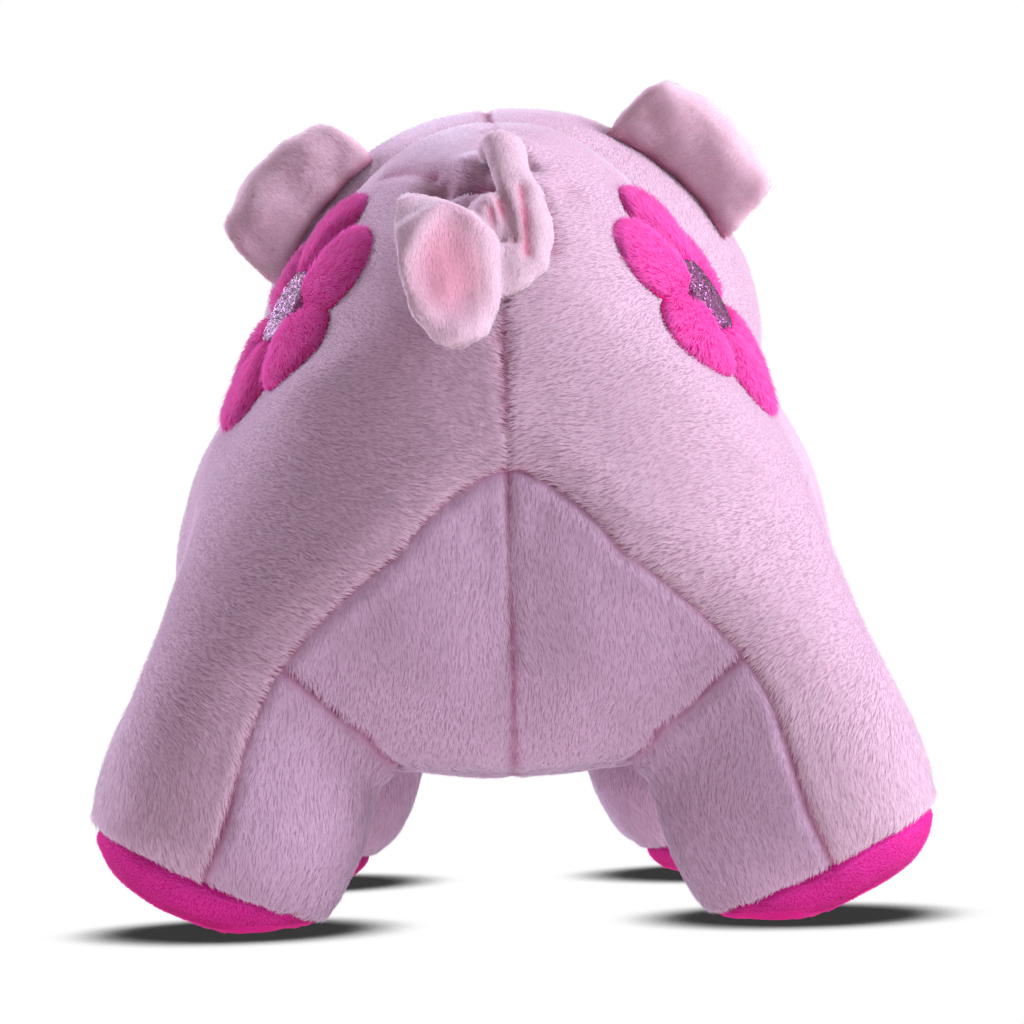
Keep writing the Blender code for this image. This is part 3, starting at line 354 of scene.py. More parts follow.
def tree_of(names):
    points, faces = [], []
    for name in names:
        body = solid(name)
        start = len(points)
        points += [corner.co.copy() for corner in body.verts]
        faces += [[start + corner.index for corner in face.verts] for face in body.faces]
        body.free()
    return BVHTree.FromPolygons(points, faces)


def tree_of_mesh(mesh):
    points = [corner.co.copy() for corner in mesh.vertices]
    return BVHTree.FromPolygons(points, [list(face.vertices) for face in mesh.polygons])


# %% Noise, seams and distances
def wobble(points, size, seed):
    """Smooth noise from -1 to 1 at each point, with waves of about the given size."""
    shift = Vector((seed * 7.31, seed * 3.17, seed * 5.77))
    return np.array([noise.noise(Vector(p) / size + shift) for p in points])


def unit(vectors):
    return vectors / np.maximum(np.linalg.norm(vectors, axis=1, keepdims=True), 1e-9)


def label_borders(mesh):
    """End points of the edges between faces with different labels."""
    labels = read_labels(mesh)
    low, high = {}, {}
    for face, label in zip(mesh.polygons, labels):
        for key in face.edge_keys:
            low[key] = min(low.get(key, label), label)
            high[key] = max(high.get(key, label), label)
    return [key for key in low if low[key] != high[key]]


def distance_to(points, places):
    """Distance from each point to the nearest of some places."""
    finder = kdtree.KDTree(len(places))
    for number, place in enumerate(places):
        finder.insert(place, number)
    finder.balance()
    return np.array([finder.find(p)[2] for p in points])


def seam_places(mesh):
    """Points along the seams, four to an edge."""
    places = []
    for a, b in label_borders(mesh):
        start, end = mesh.vertices[a].co, mesh.vertices[b].co
        places += [start.lerp(end, step / 4) for step in range(4)]
    return places


print("helpers ready")


# %% [markdown]
# ## Combed pile
#
# Real pile is cut loops of yarn that stand in the backing and have been brushed flat. A particle
# system could grow it, but the export keeps only meshes. So a node group scatters hairs of two
# triangles over a surface and makes them real. Three attributes steer it: `comb` is the way the
# pile is laid, `rise` is the way out of the fabric, and `pile` is the local share of length and
# density. The same group lays stitches side by side, when it is given points and no surface.

# %% Pile group
def group_inputs(group, numbers):
    group.interface.new_socket("Geometry", in_out="INPUT", socket_type="NodeSocketGeometry")
    for name, value in numbers.items():
        kind = "NodeSocketInt" if isinstance(value, int) else "NodeSocketFloat"
        group.interface.new_socket(name, in_out="INPUT", socket_type=kind).default_value = value
    group.interface.new_socket("Hair", in_out="INPUT", socket_type="NodeSocketObject")
    group.interface.new_socket("Material", in_out="INPUT", socket_type="NodeSocketMaterial")
    group.interface.new_socket("Geometry", in_out="OUTPUT", socket_type="NodeSocketGeometry")


def scatter_group(name, on_points):
    """Copies of one small mesh, on a surface or on the points of a mesh, made real."""
    group = bpy.data.node_groups.new(name, "GeometryNodeTree")
    group_inputs(group, {
        "Density": 1e6, "Length": 0.003, "Width": 0.0004, "Swirl": 0.5, "Swirl Size": 0.004,
        "Tilt": 0.12, "Roll": 0.4, "Yaw": 0.2, "Uneven": 0.25, "Seed": 1,
    })
    given = node(group, "NodeGroupInput").outputs
    surface, seed = given["Geometry"], given["Seed"]
    carried = {}
    for label, kind in (("comb", "FLOAT_VECTOR"), ("rise", "FLOAT_VECTOR"), ("pile", "FLOAT")):
        read = node(group, "GeometryNodeInputNamedAttribute", {"Name": label}, data_type=kind)
        carried[label] = next(out for out in read.outputs if out.enabled)
    share = carried["pile"]

    # Where the hairs stand
    if on_points:
        spots = node(group, "GeometryNodeMeshToPoints", {"Mesh": surface}).outputs[0]
    else:
        dense = {0: given["Density"], 1: share}
        dense = node(group, "ShaderNodeMath", dense, operation="MULTIPLY").outputs[0]
        spots = {"Mesh": surface, "Density": dense, "Seed": seed}
        spots = node(group, "GeometryNodeDistributePointsOnFaces", spots).outputs["Points"]

    # How they are turned: upright, along the comb, in swirls, and each a little its own way
    turned = "FunctionNodeAlignRotationToVector"
    upright = node(group, turned, {"Vector": carried["rise"]}, axis="Z").outputs[0]
    combed = {"Rotation": upright, "Vector": carried["comb"]}
    combed = node(group, turned, combed, axis="Y", pivot_axis="Z").outputs[0]
    where = node(group, "GeometryNodeInputPosition").outputs[0]
    finer = {0: 1.0, 1: given["Swirl Size"]}
    finer = node(group, "ShaderNodeMath", finer, operation="DIVIDE").outputs[0]
    swirl = {"Vector": where, "Scale": finer, "Detail": 2.0}
    swirl = node(group, "ShaderNodeTexNoise", swirl).outputs[0]
    swing = node(group, "ShaderNodeMath", {0: swirl, 1: 0.5}, operation="SUBTRACT").outputs[0]
    swing = {0: swing, 1: given["Swirl"]}
    swing = node(group, "ShaderNodeMath", swing, operation="MULTIPLY").outputs[0]
    swing = node(group, "ShaderNodeCombineXYZ", {2: swing}).outputs[0]
    limit = {0: given["Tilt"], 1: given["Roll"], 2: given["Yaw"]}
    limit = node(group, "ShaderNodeCombineXYZ", limit).outputs[0]
    lowest = {0: limit, "Scale": -1.0}
    lowest = node(group, "ShaderNodeVectorMath", lowest, operation="SCALE").outputs[0]
    shake = {0: lowest, 1: limit, "Seed": seed}
    shake = node(group, "FunctionNodeRandomValue", shake, data_type="FLOAT_VECTOR").outputs[0]
    turn = node(group, "ShaderNodeVectorMath", {0: shake, 1: swing}, operation="ADD").outputs[0]
    turn = node(group, "FunctionNodeEulerToRotation", {0: turn}).outputs[0]
    final = {0: combed, 1: turn}
    final = node(group, "FunctionNodeRotateRotation", final, rotation_space="LOCAL").outputs[0]

    # How long they are
    least = {0: 1.0, 1: given["Uneven"]}
    least = node(group, "ShaderNodeMath", least, operation="SUBTRACT").outputs[0]
    most = {0: 1.0, 1: given["Uneven"]}
    most = node(group, "ShaderNodeMath", most, operation="ADD").outputs[0]
    other_seed = node(group, "FunctionNodeInputInt", integer=7).outputs[0]
    vary = {2: least, 3: most, "Seed": other_seed}
    vary = node(group, "FunctionNodeRandomValue", vary, data_type="FLOAT").outputs[1]
    run = {0: given["Length"], 1: vary}
    run = node(group, "ShaderNodeMath", run, operation="MULTIPLY").outputs[0]
    run = node(group, "ShaderNodeMath", {0: run, 1: share}, operation="MULTIPLY").outputs[0]
    size = node(group, "ShaderNodeCombineXYZ", {0: given["Width"], 1: run, 2: run}).outputs[0]

    # The hairs, each with its tint
    hair = node(group, "GeometryNodeObjectInfo", {"Object": given["Hair"]}).outputs["Geometry"]
    copies = {"Points": spots, "Instance": hair, "Rotation": final, "Scale": size}
    copies = node(group, "GeometryNodeInstanceOnPoints", copies).outputs[0]
    tint = node(group, "FunctionNodeRandomValue", {"Seed": seed}, data_type="FLOAT").outputs[1]
    copies = node(
        group, "GeometryNodeStoreNamedAttribute",
        {"Geometry": copies, "Name": "tint", "Value": tint}, data_type="FLOAT", domain="INSTANCE",
    ).outputs[0]
    real = node(group, "GeometryNodeRealizeInstances", {"Geometry": copies}).outputs[0]
    painted = {"Geometry": real, "Material": given["Material"]}
    out = node(group, "GeometryNodeSetMaterial", painted).outputs[0]
    if not on_points:
        join = node(group, "GeometryNodeJoinGeometry")
        group.links.new(surface, join.inputs[0])
        group.links.new(out, join.inputs[0])
        out = join.outputs[0]
    node(group, "NodeGroupOutput", {0: out})
    return group


# %% Hair, flake and stitch
def prototype(name, points, faces, along):
    mesh = mesh_of(name, points, faces)
    mesh.shade_smooth()
    mesh.attributes.new("along", "FLOAT", "POINT").data.foreach_set("value", along)
    item = piece_of(name, mesh)
    item.hide_render = True
    item.hide_viewport = True
    return item


def stitch_prototype():
    """A short thread along Y that arches in the middle."""
    points, faces, rings, sides = [], [], 5, 6
    for ring in range(rings):
        share = ring / (rings - 1)
        lift = 0.22 * math.sin(math.pi * share)
        thin = 0.35 + 0.65 * math.sin(math.pi * min(max(share, 0.12), 0.88))
        for side in range(sides):
            angle = 2 * math.pi * side / sides
            round_x, round_z = 0.5 * thin * math.cos(angle), 0.12 * thin * math.sin(angle)
            points.append((round_x, share - 0.5, lift + round_z))
    for ring in range(rings - 1):
        for side in range(sides):
            after = (side + 1) % sides
            low, high = ring * sides, (ring + 1) * sides
            faces.append((low + side, low + after, high + after, high + side))
    return prototype("stitch", points, faces, [0.5] * len(points))


HAIR = prototype(
    "hair",
    [(0, 0, 0), (-0.5, 0.40, 0.13), (0.5, 0.40, 0.13), (0, 1, 0.20)],
    [(0, 2, 1), (1, 2, 3)],
    [0.0, 0.4, 0.4, 1.0],
)
SIX = [(0.5 * math.cos(math.pi * k / 3), 0.5 * math.sin(math.pi * k / 3), 0.0) for k in range(6)]
FLAKE_SHAPE = prototype("flake", SIX, [(0, 1, 2, 3), (0, 3, 4, 5)], [1.0] * 6)
STITCH = stitch_prototype()
print("a hair has", len(HAIR.data.polygons), "faces, a stitch", len(STITCH.data.polygons))


# %% Grow the pile
SURFACE_SCATTER = scatter_group("combed_pile", False)
POINT_SCATTER = scatter_group("laid_stitches", True)


def scatter(item, group, shape, material, **numbers):
    """Runs a scatter group on an item and keeps the result as its mesh."""
    modifier = item.modifiers.new("scatter", "NODES")
    modifier.node_group = group
    wanted = {"Hair": shape, "Material": material, **numbers}
    for socket in group.interface.items_tree:
        if socket.name in wanted:
            modifier[socket.identifier] = wanted[socket.name]
    settle(item)


def steer(mesh, comb, rise, share, painted_shade=None):
    """Stores what the pile follows, and how much painted shade each point gets."""
    for name, values in (("comb", comb), ("rise", rise)):
        store = mesh.attributes.new(name, "FLOAT_VECTOR", "POINT")
        store.data.foreach_set("vector", np.asarray(values, float).ravel())
    painted_shade = np.zeros(len(share)) if painted_shade is None else painted_shade
    for name, values in (("pile", share), ("painted_shade", painted_shade)):
        values = np.asarray(values, float)
        mesh.attributes.new(name, "FLOAT", "POINT").data.foreach_set("value", values)


def forget(mesh):
    """Drops what only the pile needed."""
    for name in ("comb", "pile"):
        if name in mesh.attributes:
            mesh.attributes.remove(mesh.attributes[name])


print("pile group has", len(SURFACE_SCATTER.nodes), "nodes")


# %% [markdown]
# ## The sewn cover
#
# The body is sewn from flat panels and stuffed hard, so each panel bulges between its seams. It
# could be sculpted, but a cloth simulation with pressure gives the bulges by itself. The outer
# faces of the trunk and leg panels are welded across their seams. Two rounds of subdivision smooth
# them, with the simulation between.

# %% Weld the cover
SEAM_WELD = 0.0009
FACE_OFF_STUFFING = 0.00145
COVER_KINDS = ("flank", "belly_gusset", "inner_leg", "sole")
PANELS = sorted(name for name in frame["nodes"] if name.startswith(COVER_KINDS))
CORES = ["stuffing_trunk"] + sorted(n for n in frame["nodes"] if n.startswith("stuffing_leg"))


def welded_cover():
    stuffing = tree_of(CORES)
    cover = bmesh.new()
    for number, name in enumerate(PANELS):
        body = solid(name)
        spots = {}
        for face in body.faces:
            gap = stuffing.find_nearest(face.calc_center_median())[3]
            if gap < FACE_OFF_STUFFING:
                continue
            corners = []
            for corner in face.verts:
                if corner.index not in spots:
                    spots[corner.index] = cover.verts.new(corner.co)
                corners.append(spots[corner.index])
            cover.faces.new(corners).material_index = number
        body.free()
    bmesh.ops.remove_doubles(cover, verts=cover.verts[:], dist=SEAM_WELD)
    bmesh.ops.join_triangles(
        cover, faces=cover.faces[:], cmp_materials=True,
        angle_face_threshold=math.radians(45), angle_shape_threshold=math.radians(60),
    )
    bmesh.ops.recalc_face_normals(cover, faces=cover.faces[:])
    open_edges = sum(1 for edge in cover.edges if len(edge.link_faces) != 2)
    mesh = mesh_from("cover", cover)
    for _ in PANELS:
        mesh.materials.append(None)
    print("cover:", len(mesh.polygons), "faces,", open_edges, "open edges")
    return mesh


def subdivide(item, levels, fit):
    """Subdivision whose surface still passes through the points it started from."""
    targets = read_points(item.data)
    modifier = item.modifiers.new("round", "SUBSURF")
    modifier.levels = modifier.render_levels = levels
    for _ in range(fit):
        surface = read_points(settled(item))[: len(targets)]
        write_points(item.data, read_points(item.data) + targets - surface)
    settle(item)


cover_item = piece_of("cover", welded_cover())
subdivide(cover_item, 1, 3)


# %% Blow the panels up between their seams
SKIN_INSET = 0.0008
PRESSURE = 4.0
PUFF_CAP = 0.0030


def blow_up(item, pinned, pressure, cap):
    """Cloth with pressure and no gravity, pinned at its seams. No point moves beyond the cap."""
    start = read_points(item.data)
    group = item.vertex_groups.new(name="seams")
    group.add(sorted(pinned), 1.0, "REPLACE")
    cloth = item.modifiers.new("cloth", "CLOTH")
    cloth.settings.quality = 6
    cloth.settings.mass = 0.25
    cloth.settings.tension_stiffness = 18
    cloth.settings.compression_stiffness = 18
    cloth.settings.shear_stiffness = 10
    cloth.settings.bending_stiffness = 2.0
    cloth.settings.use_pressure = True
    cloth.settings.uniform_pressure_force = pressure
    cloth.settings.effector_weights.gravity = 0
    cloth.settings.vertex_group_mass = "seams"
    cloth.collision_settings.use_collision = False
    cloth.point_cache.frame_end = 20
    for step in range(1, 21):
        bpy.context.scene.frame_set(step)
    moved = read_points(settled(item)) - start
    bpy.context.scene.frame_set(1)
    item.modifiers.clear()
    item.vertex_groups.clear()
    length = np.linalg.norm(moved, axis=1, keepdims=True)
    print("cloth moved up to", round(float(length.max()) * 1000, 1), "mm")
    moved *= np.minimum(1.0, cap / np.maximum(length, 1e-9))
    write_points(item.data, start + moved)


seam_points = {index for key in label_borders(cover_item.data) for index in key}
inset = read_normals(cover_item.data) * SKIN_INSET
write_points(cover_item.data, read_points(cover_item.data) - inset)
blow_up(cover_item, seam_points, PRESSURE, PUFF_CAP)
subdivide(cover_item, 2, 0)
cover_item.data.update()
print("fine cover:", len(cover_item.data.polygons), "faces")


# %% [markdown]
# ## Seams, dimples and folds
#
# A sewn seam pulls the plush in. Each one is drawn as a valley with a soft ridge and small puckers
# beside it, by moving the points near it along their normals. Where a seam crosses the outline of
# the back or the belly it is stretched tight, and its valley is shallow. The plush is gathered at
# the root of the tail, in dents and short folds. The seams, the dents and the folds are also given
# painted shade, a darker pink in the pile. The stuffing shows as shallow lumps, and the feet stay
# flat on the floor.

# %% Shape the cover
SEAM_DEPTH, SEAM_WIDTH = 0.0010, 0.0013
TAUT_HALF_WIDTH, TAUT_BELOW, TAUT_ABOVE = 0.015, 0.075, 0.225
FLOOR_CLEAR = 0.0004


def bell(away, width):
    """1 in the middle, falling off smoothly to nothing at about twice the width."""
    return np.exp(-((away / width) ** 2))


def away_from(points, centre):
    return np.linalg.norm(points - np.array(centre), axis=1)


def pushed(points, normals, amount):
    """Points moved along their normals, each by its own amount."""
    return points + normals * amount[:, None]


def pull_seams(points, normals, places, depth, width):
    """Points moved in at the seams, with a ridge and puckers beside them."""
    away = distance_to(points, places)
    groove = -depth * bell(away, width)
    ridge = 0.0003 * bell(away - 2.8 * width, 1.4 * width)
    pucker = 0.0004 * wobble(points, 0.006, 3) * bell(away, 0.009)
    return pushed(points, normals, groove + ridge + pucker), away


def dent(points, normals, centre, depth, reach):
    """Points pulled in round a centre, and how much each is pulled."""
    pull = bell(away_from(points, centre), reach)
    return pushed(points, normals, -depth * pull), pull


def crease(points, normals, dark, ends, depth, width):
    """Points pulled in along a line between two places, and the painted shade that adds."""
    start, end = np.array(ends[0]), np.array(ends[1])
    run = end - start
    share = np.clip(((points - start) @ run) / (run @ run), 0, 1)
    away = np.linalg.norm(points - start - share[:, None] * run, axis=1)
    pull = bell(away, width)
    return pushed(points, normals, -depth * pull), np.maximum(dark, 0.85 * pull**2)


def seam_shade(away):
    """Painted shade of the pile near a seam, and how much of the pile grows there."""
    return 0.80 * bell(away, 0.0009), 1 - 0.50 * bell(away, 0.0006)


def lumps(points, seed, size=0.0009):
    return size * wobble(points, 0.033, seed) + 0.35 * size * wobble(points, 0.012, seed + 1)


cover_points = read_points(cover_item.data)
cover_normals = read_normals(cover_item.data)
start_points = cover_points = pushed(cover_points, cover_normals, lumps(cover_points, 5))
cover_points, seam_away = pull_seams(
    cover_points, cover_normals, seam_places(cover_item.data), SEAM_DEPTH, SEAM_WIDTH
)
painted_groove_shade, kept_share = seam_shade(seam_away)
heights = start_points[:, 2]
taut = (heights < TAUT_BELOW) | (heights > TAUT_ABOVE)
taut &= np.abs(start_points[:, 0]) < TAUT_HALF_WIDTH
cover_points[taut] += 0.75 * (start_points - cover_points)[taut]
rump_tree = tree_of_mesh(cover_item.data)


def on_rump(x, z):
    return rump_tree.ray_cast(Vector((x, 0.3, z)), Vector((0, -1, 0)))[0]


for x, z, depth, reach in (
    (0.0185, 0.2100, 0.0052, 0.0070),
    (-0.0216, 0.2085, 0.0014, 0.0050),
    (0.0074, 0.2165, -0.0030, 0.0060),
    (-0.0062, 0.2225, -0.0026, 0.0055),
    (0.0030, 0.2060, 0.0030, 0.0060),
):
    cover_points, pull = dent(cover_points, cover_normals, on_rump(x, z), depth, reach)
    # Dents that are pulled in get painted shade, more for deeper ones.
    painted_groove_shade = np.maximum(painted_groove_shade, min(0.5, max(0.0, depth) / 0.008) * pull)
# Short folds, pulled in and given painted shade along their lines.
for start, end, depth in (
    ((0.0120, 0.2095), (0.0026, 0.2110), 0.0034),
    ((-0.0012, 0.2205), (-0.0105, 0.2165), 0.0042),
    ((-0.0020, 0.2140), (-0.0110, 0.2080), 0.0026),
    ((0.0010, 0.2290), (0.0016, 0.2205), 0.0026),
    ((0.0190, 0.2150), (0.0330, 0.2190), 0.0018),
    ((-0.0130, 0.2050), (-0.0150, 0.1900), 0.0012),
    ((0.0010, 0.1660), (0.0005, 0.1560), 0.0010),
):
    ends = on_rump(*start), on_rump(*end)
    cover_points, painted_groove_shade = crease(cover_points, cover_normals, painted_groove_shade, ends, depth, 0.0026)
cover_points[:, 2] = np.maximum(cover_points[:, 2], FLOOR_CLEAR)
write_points(cover_item.data, cover_points)
cover_normals = read_normals(cover_item.data)
COVER_TREE = tree_of_mesh(cover_item.data)
print("seam points:", int((seam_away < 0.001).sum()), "of", len(cover_points))


# %% [markdown]
# ## Which way the pile lies
#
# Plush has a nap, and each panel is cut so that it runs one way. On the flanks it runs back to the
# centre seam of the rump. On the legs and the gusset it runs down, on the head back and down, and
# on the ears and tail away from their roots. Smooth noise turns it a little, as a hand does.

# %% Comb directions
SIDES = {"left": 1, "right": -1}
UP = np.array((0.0, 0.0, 1.0))
DOWN = -UP
BACK = np.array((0.0, 1.0, 0.0))


def flank_comb(points, normals, side):
    leg = np.clip((0.085 - points[:, 2]) / 0.05, 0, 1)[:, None]
    level = side * np.cross(UP, normals) + 0.30 * DOWN + 0.25 * BACK
    return (1 - leg) * level + leg * (DOWN + 0.15 * BACK)


def swirled(comb, normals, points, angle, size):
    """The comb directions turned about the normals by smooth noise, laid in the surface."""
    comb = unit(comb - normals * (comb * normals).sum(1, keepdims=True))
    turn = angle * wobble(points, size, 11)
    side = np.cross(normals, comb)
    return comb * np.cos(turn)[:, None] + side * np.sin(turn)[:, None]


def panel_comb(name, points, normals):
    if name.startswith("flank"):
        comb = flank_comb(points, normals, SIDES[name.split("_")[-1]])
    elif name.startswith("sole"):
        comb = np.tile(BACK, (len(points), 1)) + 0.2 * DOWN
    else:
        comb = np.tile(DOWN, (len(points), 1)) + 0.2 * BACK
    return swirled(comb, normals, points, 0.45, 0.022)


# %% Cut a mesh into its panels
TUCK = 0.0030


def panel_mesh(name, mesh, wanted, normals, comb, share, painted_shade):
    """The faces of some labels, with their border tucked in under the seam."""
    faces = [list(face.vertices) for face in mesh.polygons if face.material_index in wanted]
    used = sorted({index for face in faces for index in face})
    place = {old: new for new, old in enumerate(used)}
    faces = [[place[index] for index in face] for face in faces]
    points, outward = read_points(mesh)[used], normals[used]
    comb, share, painted_shade = comb[used], share[used], painted_shade[used]
    sides = dict.fromkeys(pair for face in faces for pair in zip(face, face[1:] + face[:1]))
    border = [pair for pair in sides if pair[::-1] not in sides]
    rim = sorted({index for pair in border for index in pair})
    under = {index: len(used) + number for number, index in enumerate(rim)}
    faces += [[b, a, under[a], under[b]] for a, b in border]
    points = np.vstack([points, points[rim] - outward[rim] * TUCK])
    made = mesh_of(name, points, faces)
    made.shade_smooth()
    # The tucked border gets full painted shade, as it lies in the seam.
    steer(
        made,
        np.vstack([comb, comb[rim]]),
        np.vstack([outward, outward[rim]]),
        np.concatenate([share, np.zeros(len(rim))]),
        np.concatenate([painted_shade, np.ones(len(rim))]),
    )
    return made


# The pile is minky plush: 2 to 3 mm long and laid flat, so it stands about 1 mm over its backing.
PILE = {"Density": 2.6e6, "Length": 0.0028, "Width": 0.00034}
SHORT_PILE = {"Density": 4.0e6, "Length": 0.0018, "Width": 0.00032}


def furred(item, material, seed, pile=PILE):
    """Grows the pile on a piece and paints its backing."""
    item.data.materials.clear()
    item.data.materials.append(material)
    scatter(item, SURFACE_SCATTER, HAIR, material, Seed=seed, **pile)
    forget(item.data)


def placed(item, slot, nodes, body="toy"):
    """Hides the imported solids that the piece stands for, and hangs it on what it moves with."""
    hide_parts(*nodes)
    if body:
        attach(item, body)


def sewn(name, slot, material, seed, cut, stuffing=(), pile=PILE):
    """Makes a panel's piece: cut from a mesh, furred, and placed for its solid and stuffing."""
    item = piece_of(name + "_soft", panel_mesh(name + "_soft", *cut))
    furred(item, material, seed, pile)
    placed(item, slot, [name, *stuffing])


def buried(points, tree, depth):
    """True where a point lies deeper than this under a surface."""
    inside = []
    for point in points:
        near, normal, _, _ = tree.find_nearest(Vector(point))
        inside.append((Vector(point) - near).dot(normal) < -depth)
    return np.array(inside)


# %% [markdown]
# ## Head
#
# The head is a stuffed ball of two panels, sewn on at the neck and tilted a little. Its packed
# solids are cut open where the trunk passes through. A remesh would keep that hole, so a grid of
# rays finds the surface instead. Over the opening the grid is carried on by smoothing, and the
# head stays a whole ball behind the neck.

# %% Head form
HEAD_MIDDLE = Vector((-0.0059, -0.0762, 0.1825))
HEAD_ROLL = math.radians(5.2)


def middle_of(name):
    """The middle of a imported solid."""
    low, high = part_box(name)
    return (low + high) / 2


def ball_grid(cuts):
    body = bmesh.new()
    bmesh.ops.create_cube(body, size=2.0)
    bmesh.ops.subdivide_edges(body, edges=body.edges[:], cuts=cuts - 1, use_grid_fill=True)
    for corner in body.verts:
        corner.co = Vector([math.tan(c * math.pi / 4) for c in corner.co]).normalized()
    bmesh.ops.recalc_face_normals(body, faces=body.faces)
    return mesh_from("ball", body)


def head_form():
    mesh = ball_grid(44)
    tilt = Matrix.Rotation(HEAD_ROLL, 3, "Y")
    tree = tree_of(["head_left", "head_right"])
    aims = [tilt @ corner.co for corner in mesh.vertices]
    radius = np.zeros(len(aims))
    for number, aim in enumerate(aims):
        hit = tree.ray_cast(HEAD_MIDDLE + aim * 0.2, -aim, 0.16)[0]
        radius[number] = (hit - HEAD_MIDDLE).length if hit else 0.0
    known = radius > 0
    radius[~known] = radius[known].mean()
    ends = np.array([edge.vertices[:] for edge in mesh.edges])
    degree = np.bincount(ends.ravel(), minlength=len(aims))

    def evened(values):
        total = np.bincount(ends[:, 0], values[ends[:, 1]], len(aims))
        total += np.bincount(ends[:, 1], values[ends[:, 0]], len(aims))
        return total / degree

    for _ in range(400):
        radius[~known] = evened(radius)[~known]
    for _ in range(14):
        radius = 0.5 * radius + 0.5 * evened(radius)
    write_points(mesh, np.array([HEAD_MIDDLE + aim * r for aim, r in zip(aims, radius)]))
    for face in mesh.polygons:
        face.material_index = 0 if (tilt.transposed() @ (face.center - HEAD_MIDDLE)).x > 0 else 1
    print("head rays that found the panels:", int(known.sum()), "of", len(known))
    return mesh


head_mesh = head_form()
for _ in SIDES:
    head_mesh.materials.append(None)
head_points, head_normals = read_points(head_mesh), read_normals(head_mesh)
head_points = pushed(head_points, head_normals, lumps(head_points, 8, 0.0010))
head_points, head_away = pull_seams(
    head_points, head_normals, seam_places(head_mesh), 0.0006, 0.0015
)
for side_name in SIDES:
    eye = middle_of("eye_" + side_name)
    head_points, _ = dent(head_points, head_normals, eye, 0.0030, 0.0110)
neck_away = np.array([COVER_TREE.find_nearest(Vector(p))[3] for p in head_points])
head_points = pushed(head_points, head_normals, -0.0014 * bell(neck_away, 0.004))
write_points(head_mesh, head_points)
head_normals = read_normals(head_mesh)
HEAD_TREE = tree_of_mesh(head_mesh)


# %% [markdown]
# ## Small stuffed pieces
#
# The ears, the snout and the tail are too small and too tightly folded for the cloth simulation.
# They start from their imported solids, joined into one skin by a voxel remesh and smoothed. The
# label of each face is the panel it lies nearest to.

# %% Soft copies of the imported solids
def soft_from(name, nodes, inner, voxel, rounds, puffs=()):
    """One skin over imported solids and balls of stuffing, each with its place, size and stretch."""
    body = bmesh.new()
    for part in list(nodes) + list(inner):
        body.from_mesh(frame["nodes"][part].data)
    bmesh.ops.remove_doubles(body, verts=body.verts[:], dist=PACK_WELD)
    for place, size, stretch in puffs:
        form = Matrix.Translation(place) @ Matrix.Diagonal((*stretch, 1.0))
        bmesh.ops.create_icosphere(body, subdivisions=3, radius=size, matrix=form)
    item = piece_of(name, mesh_from(name, body))
    remesh = item.modifiers.new("one skin", "REMESH")
    remesh.mode = "VOXEL"
    remesh.voxel_size = voxel
    smooth = item.modifiers.new("smooth", "SMOOTH")
    smooth.factor = 0.5
    smooth.iterations = rounds
    settle(item)
    item.data.materials.clear()
    trees = [tree_of([part]) for part in nodes]
    for _ in nodes:
        item.data.materials.append(None)
    for face in item.data.polygons:
        gaps = [tree.find_nearest(face.center)[3] for tree in trees]
        face.material_index = gaps.index(min(gaps))
    return item


def rooted(points, tree, reach, sink):
    """Points near a surface, drawn down into it so that no gap shows at the root."""
    moved = points.copy()
    for number, point in enumerate(points):
        near, normal, _, away = tree.find_nearest(Vector(point))
        above = (Vector(point) - near).dot(normal)
        if away < reach and above > -sink:
            share = 1 - max(above, 0.0) / reach
            moved[number] = Vector(point) - normal * (share * (max(above, 0.0) + sink))
    return moved


# %% Joints of the ears and the tail
def joint_of(body):
    found = next(j for j in frame["joints"] if j["child"] == body)
    return Vector(found["pos_m"]), Vector(found["axis"])


print("the tail turns about", [round(v * 1000, 1) for v in joint_of("tail")[0]], "mm")


# %% [markdown]
# ## Flowers
#
# Each flower is a patch of hot-pink plush, stuffed a little and sewn down with satin stitch.
# It could be cut from a flat sheet, but a grid of rings laid on the flank by rays follows the
# curve at once. The grid is puffed up, creased between its petals, and given a shaggier pile.

# %% Flower form
FLOWER_RADIUS, FLOWER_NOTCH, FLOWER_PETALS = 0.0395, 0.0232, 6
FLOWER_TURN = math.radians(-30)
PETAL_LIFT, PETAL_PUFF = 0.0010, 0.0040
GLITTER_RADIUS, GLITTER_LIFT, GLITTER_PUFF = 0.0125, 0.0034, 0.0016


def flower_axes(side_name):
    """Where the flower sits, and its outward, across and up directions."""
    side = SIDES[side_name]
    middle = middle_of("flower_centre_" + side_name)
    body = solid("flower_centre_" + side_name)
    body.normal_update()
    outward = Vector()
    for face in body.faces:
        if face.normal.x * side > 0:
            outward += face.normal * face.calc_area()
    body.free()
    outward.normalize()
    up = Matrix.Rotation(side * FLOWER_TURN, 3, outward) @ Vector((0, 0, 1))
    across = up.cross(outward).normalized()
    return middle, outward, across, outward.cross(across).normalized()


def petal_radius(angle):
    swing = abs(math.cos(FLOWER_PETALS * angle / 2))
    return FLOWER_NOTCH + (FLOWER_RADIUS - FLOWER_NOTCH) * swing**0.5


def petal_height(share, angle):
    """How high the blossom puffs: petals between creases, falling off at the edge."""
    phase = (FLOWER_PETALS * angle / math.pi + 1) % 2 - 1
    apart = (1 - abs(phase)) * math.pi / FLOWER_PETALS * share * petal_radius(angle)
    fold = 1 - 0.72 * math.exp(-((apart / 0.0036) ** 2))
    edge = max(0.0, 1 - share**5) ** 0.5
    dome = 0.62 + 0.38 * math.sin(math.pi * min(1.0, share * 0.85))
    return PETAL_LIFT + PETAL_PUFF * fold * edge * dome


def on_cover(spot, outward):
    """The cover's surface under a spot, and its normal."""
    hit, normal = COVER_TREE.ray_cast(spot + outward * 0.06, -outward)[:2]
    if normal.dot(outward) < 0:
        normal = -normal
    return hit, normal.lerp(outward, 0.4).normalized()


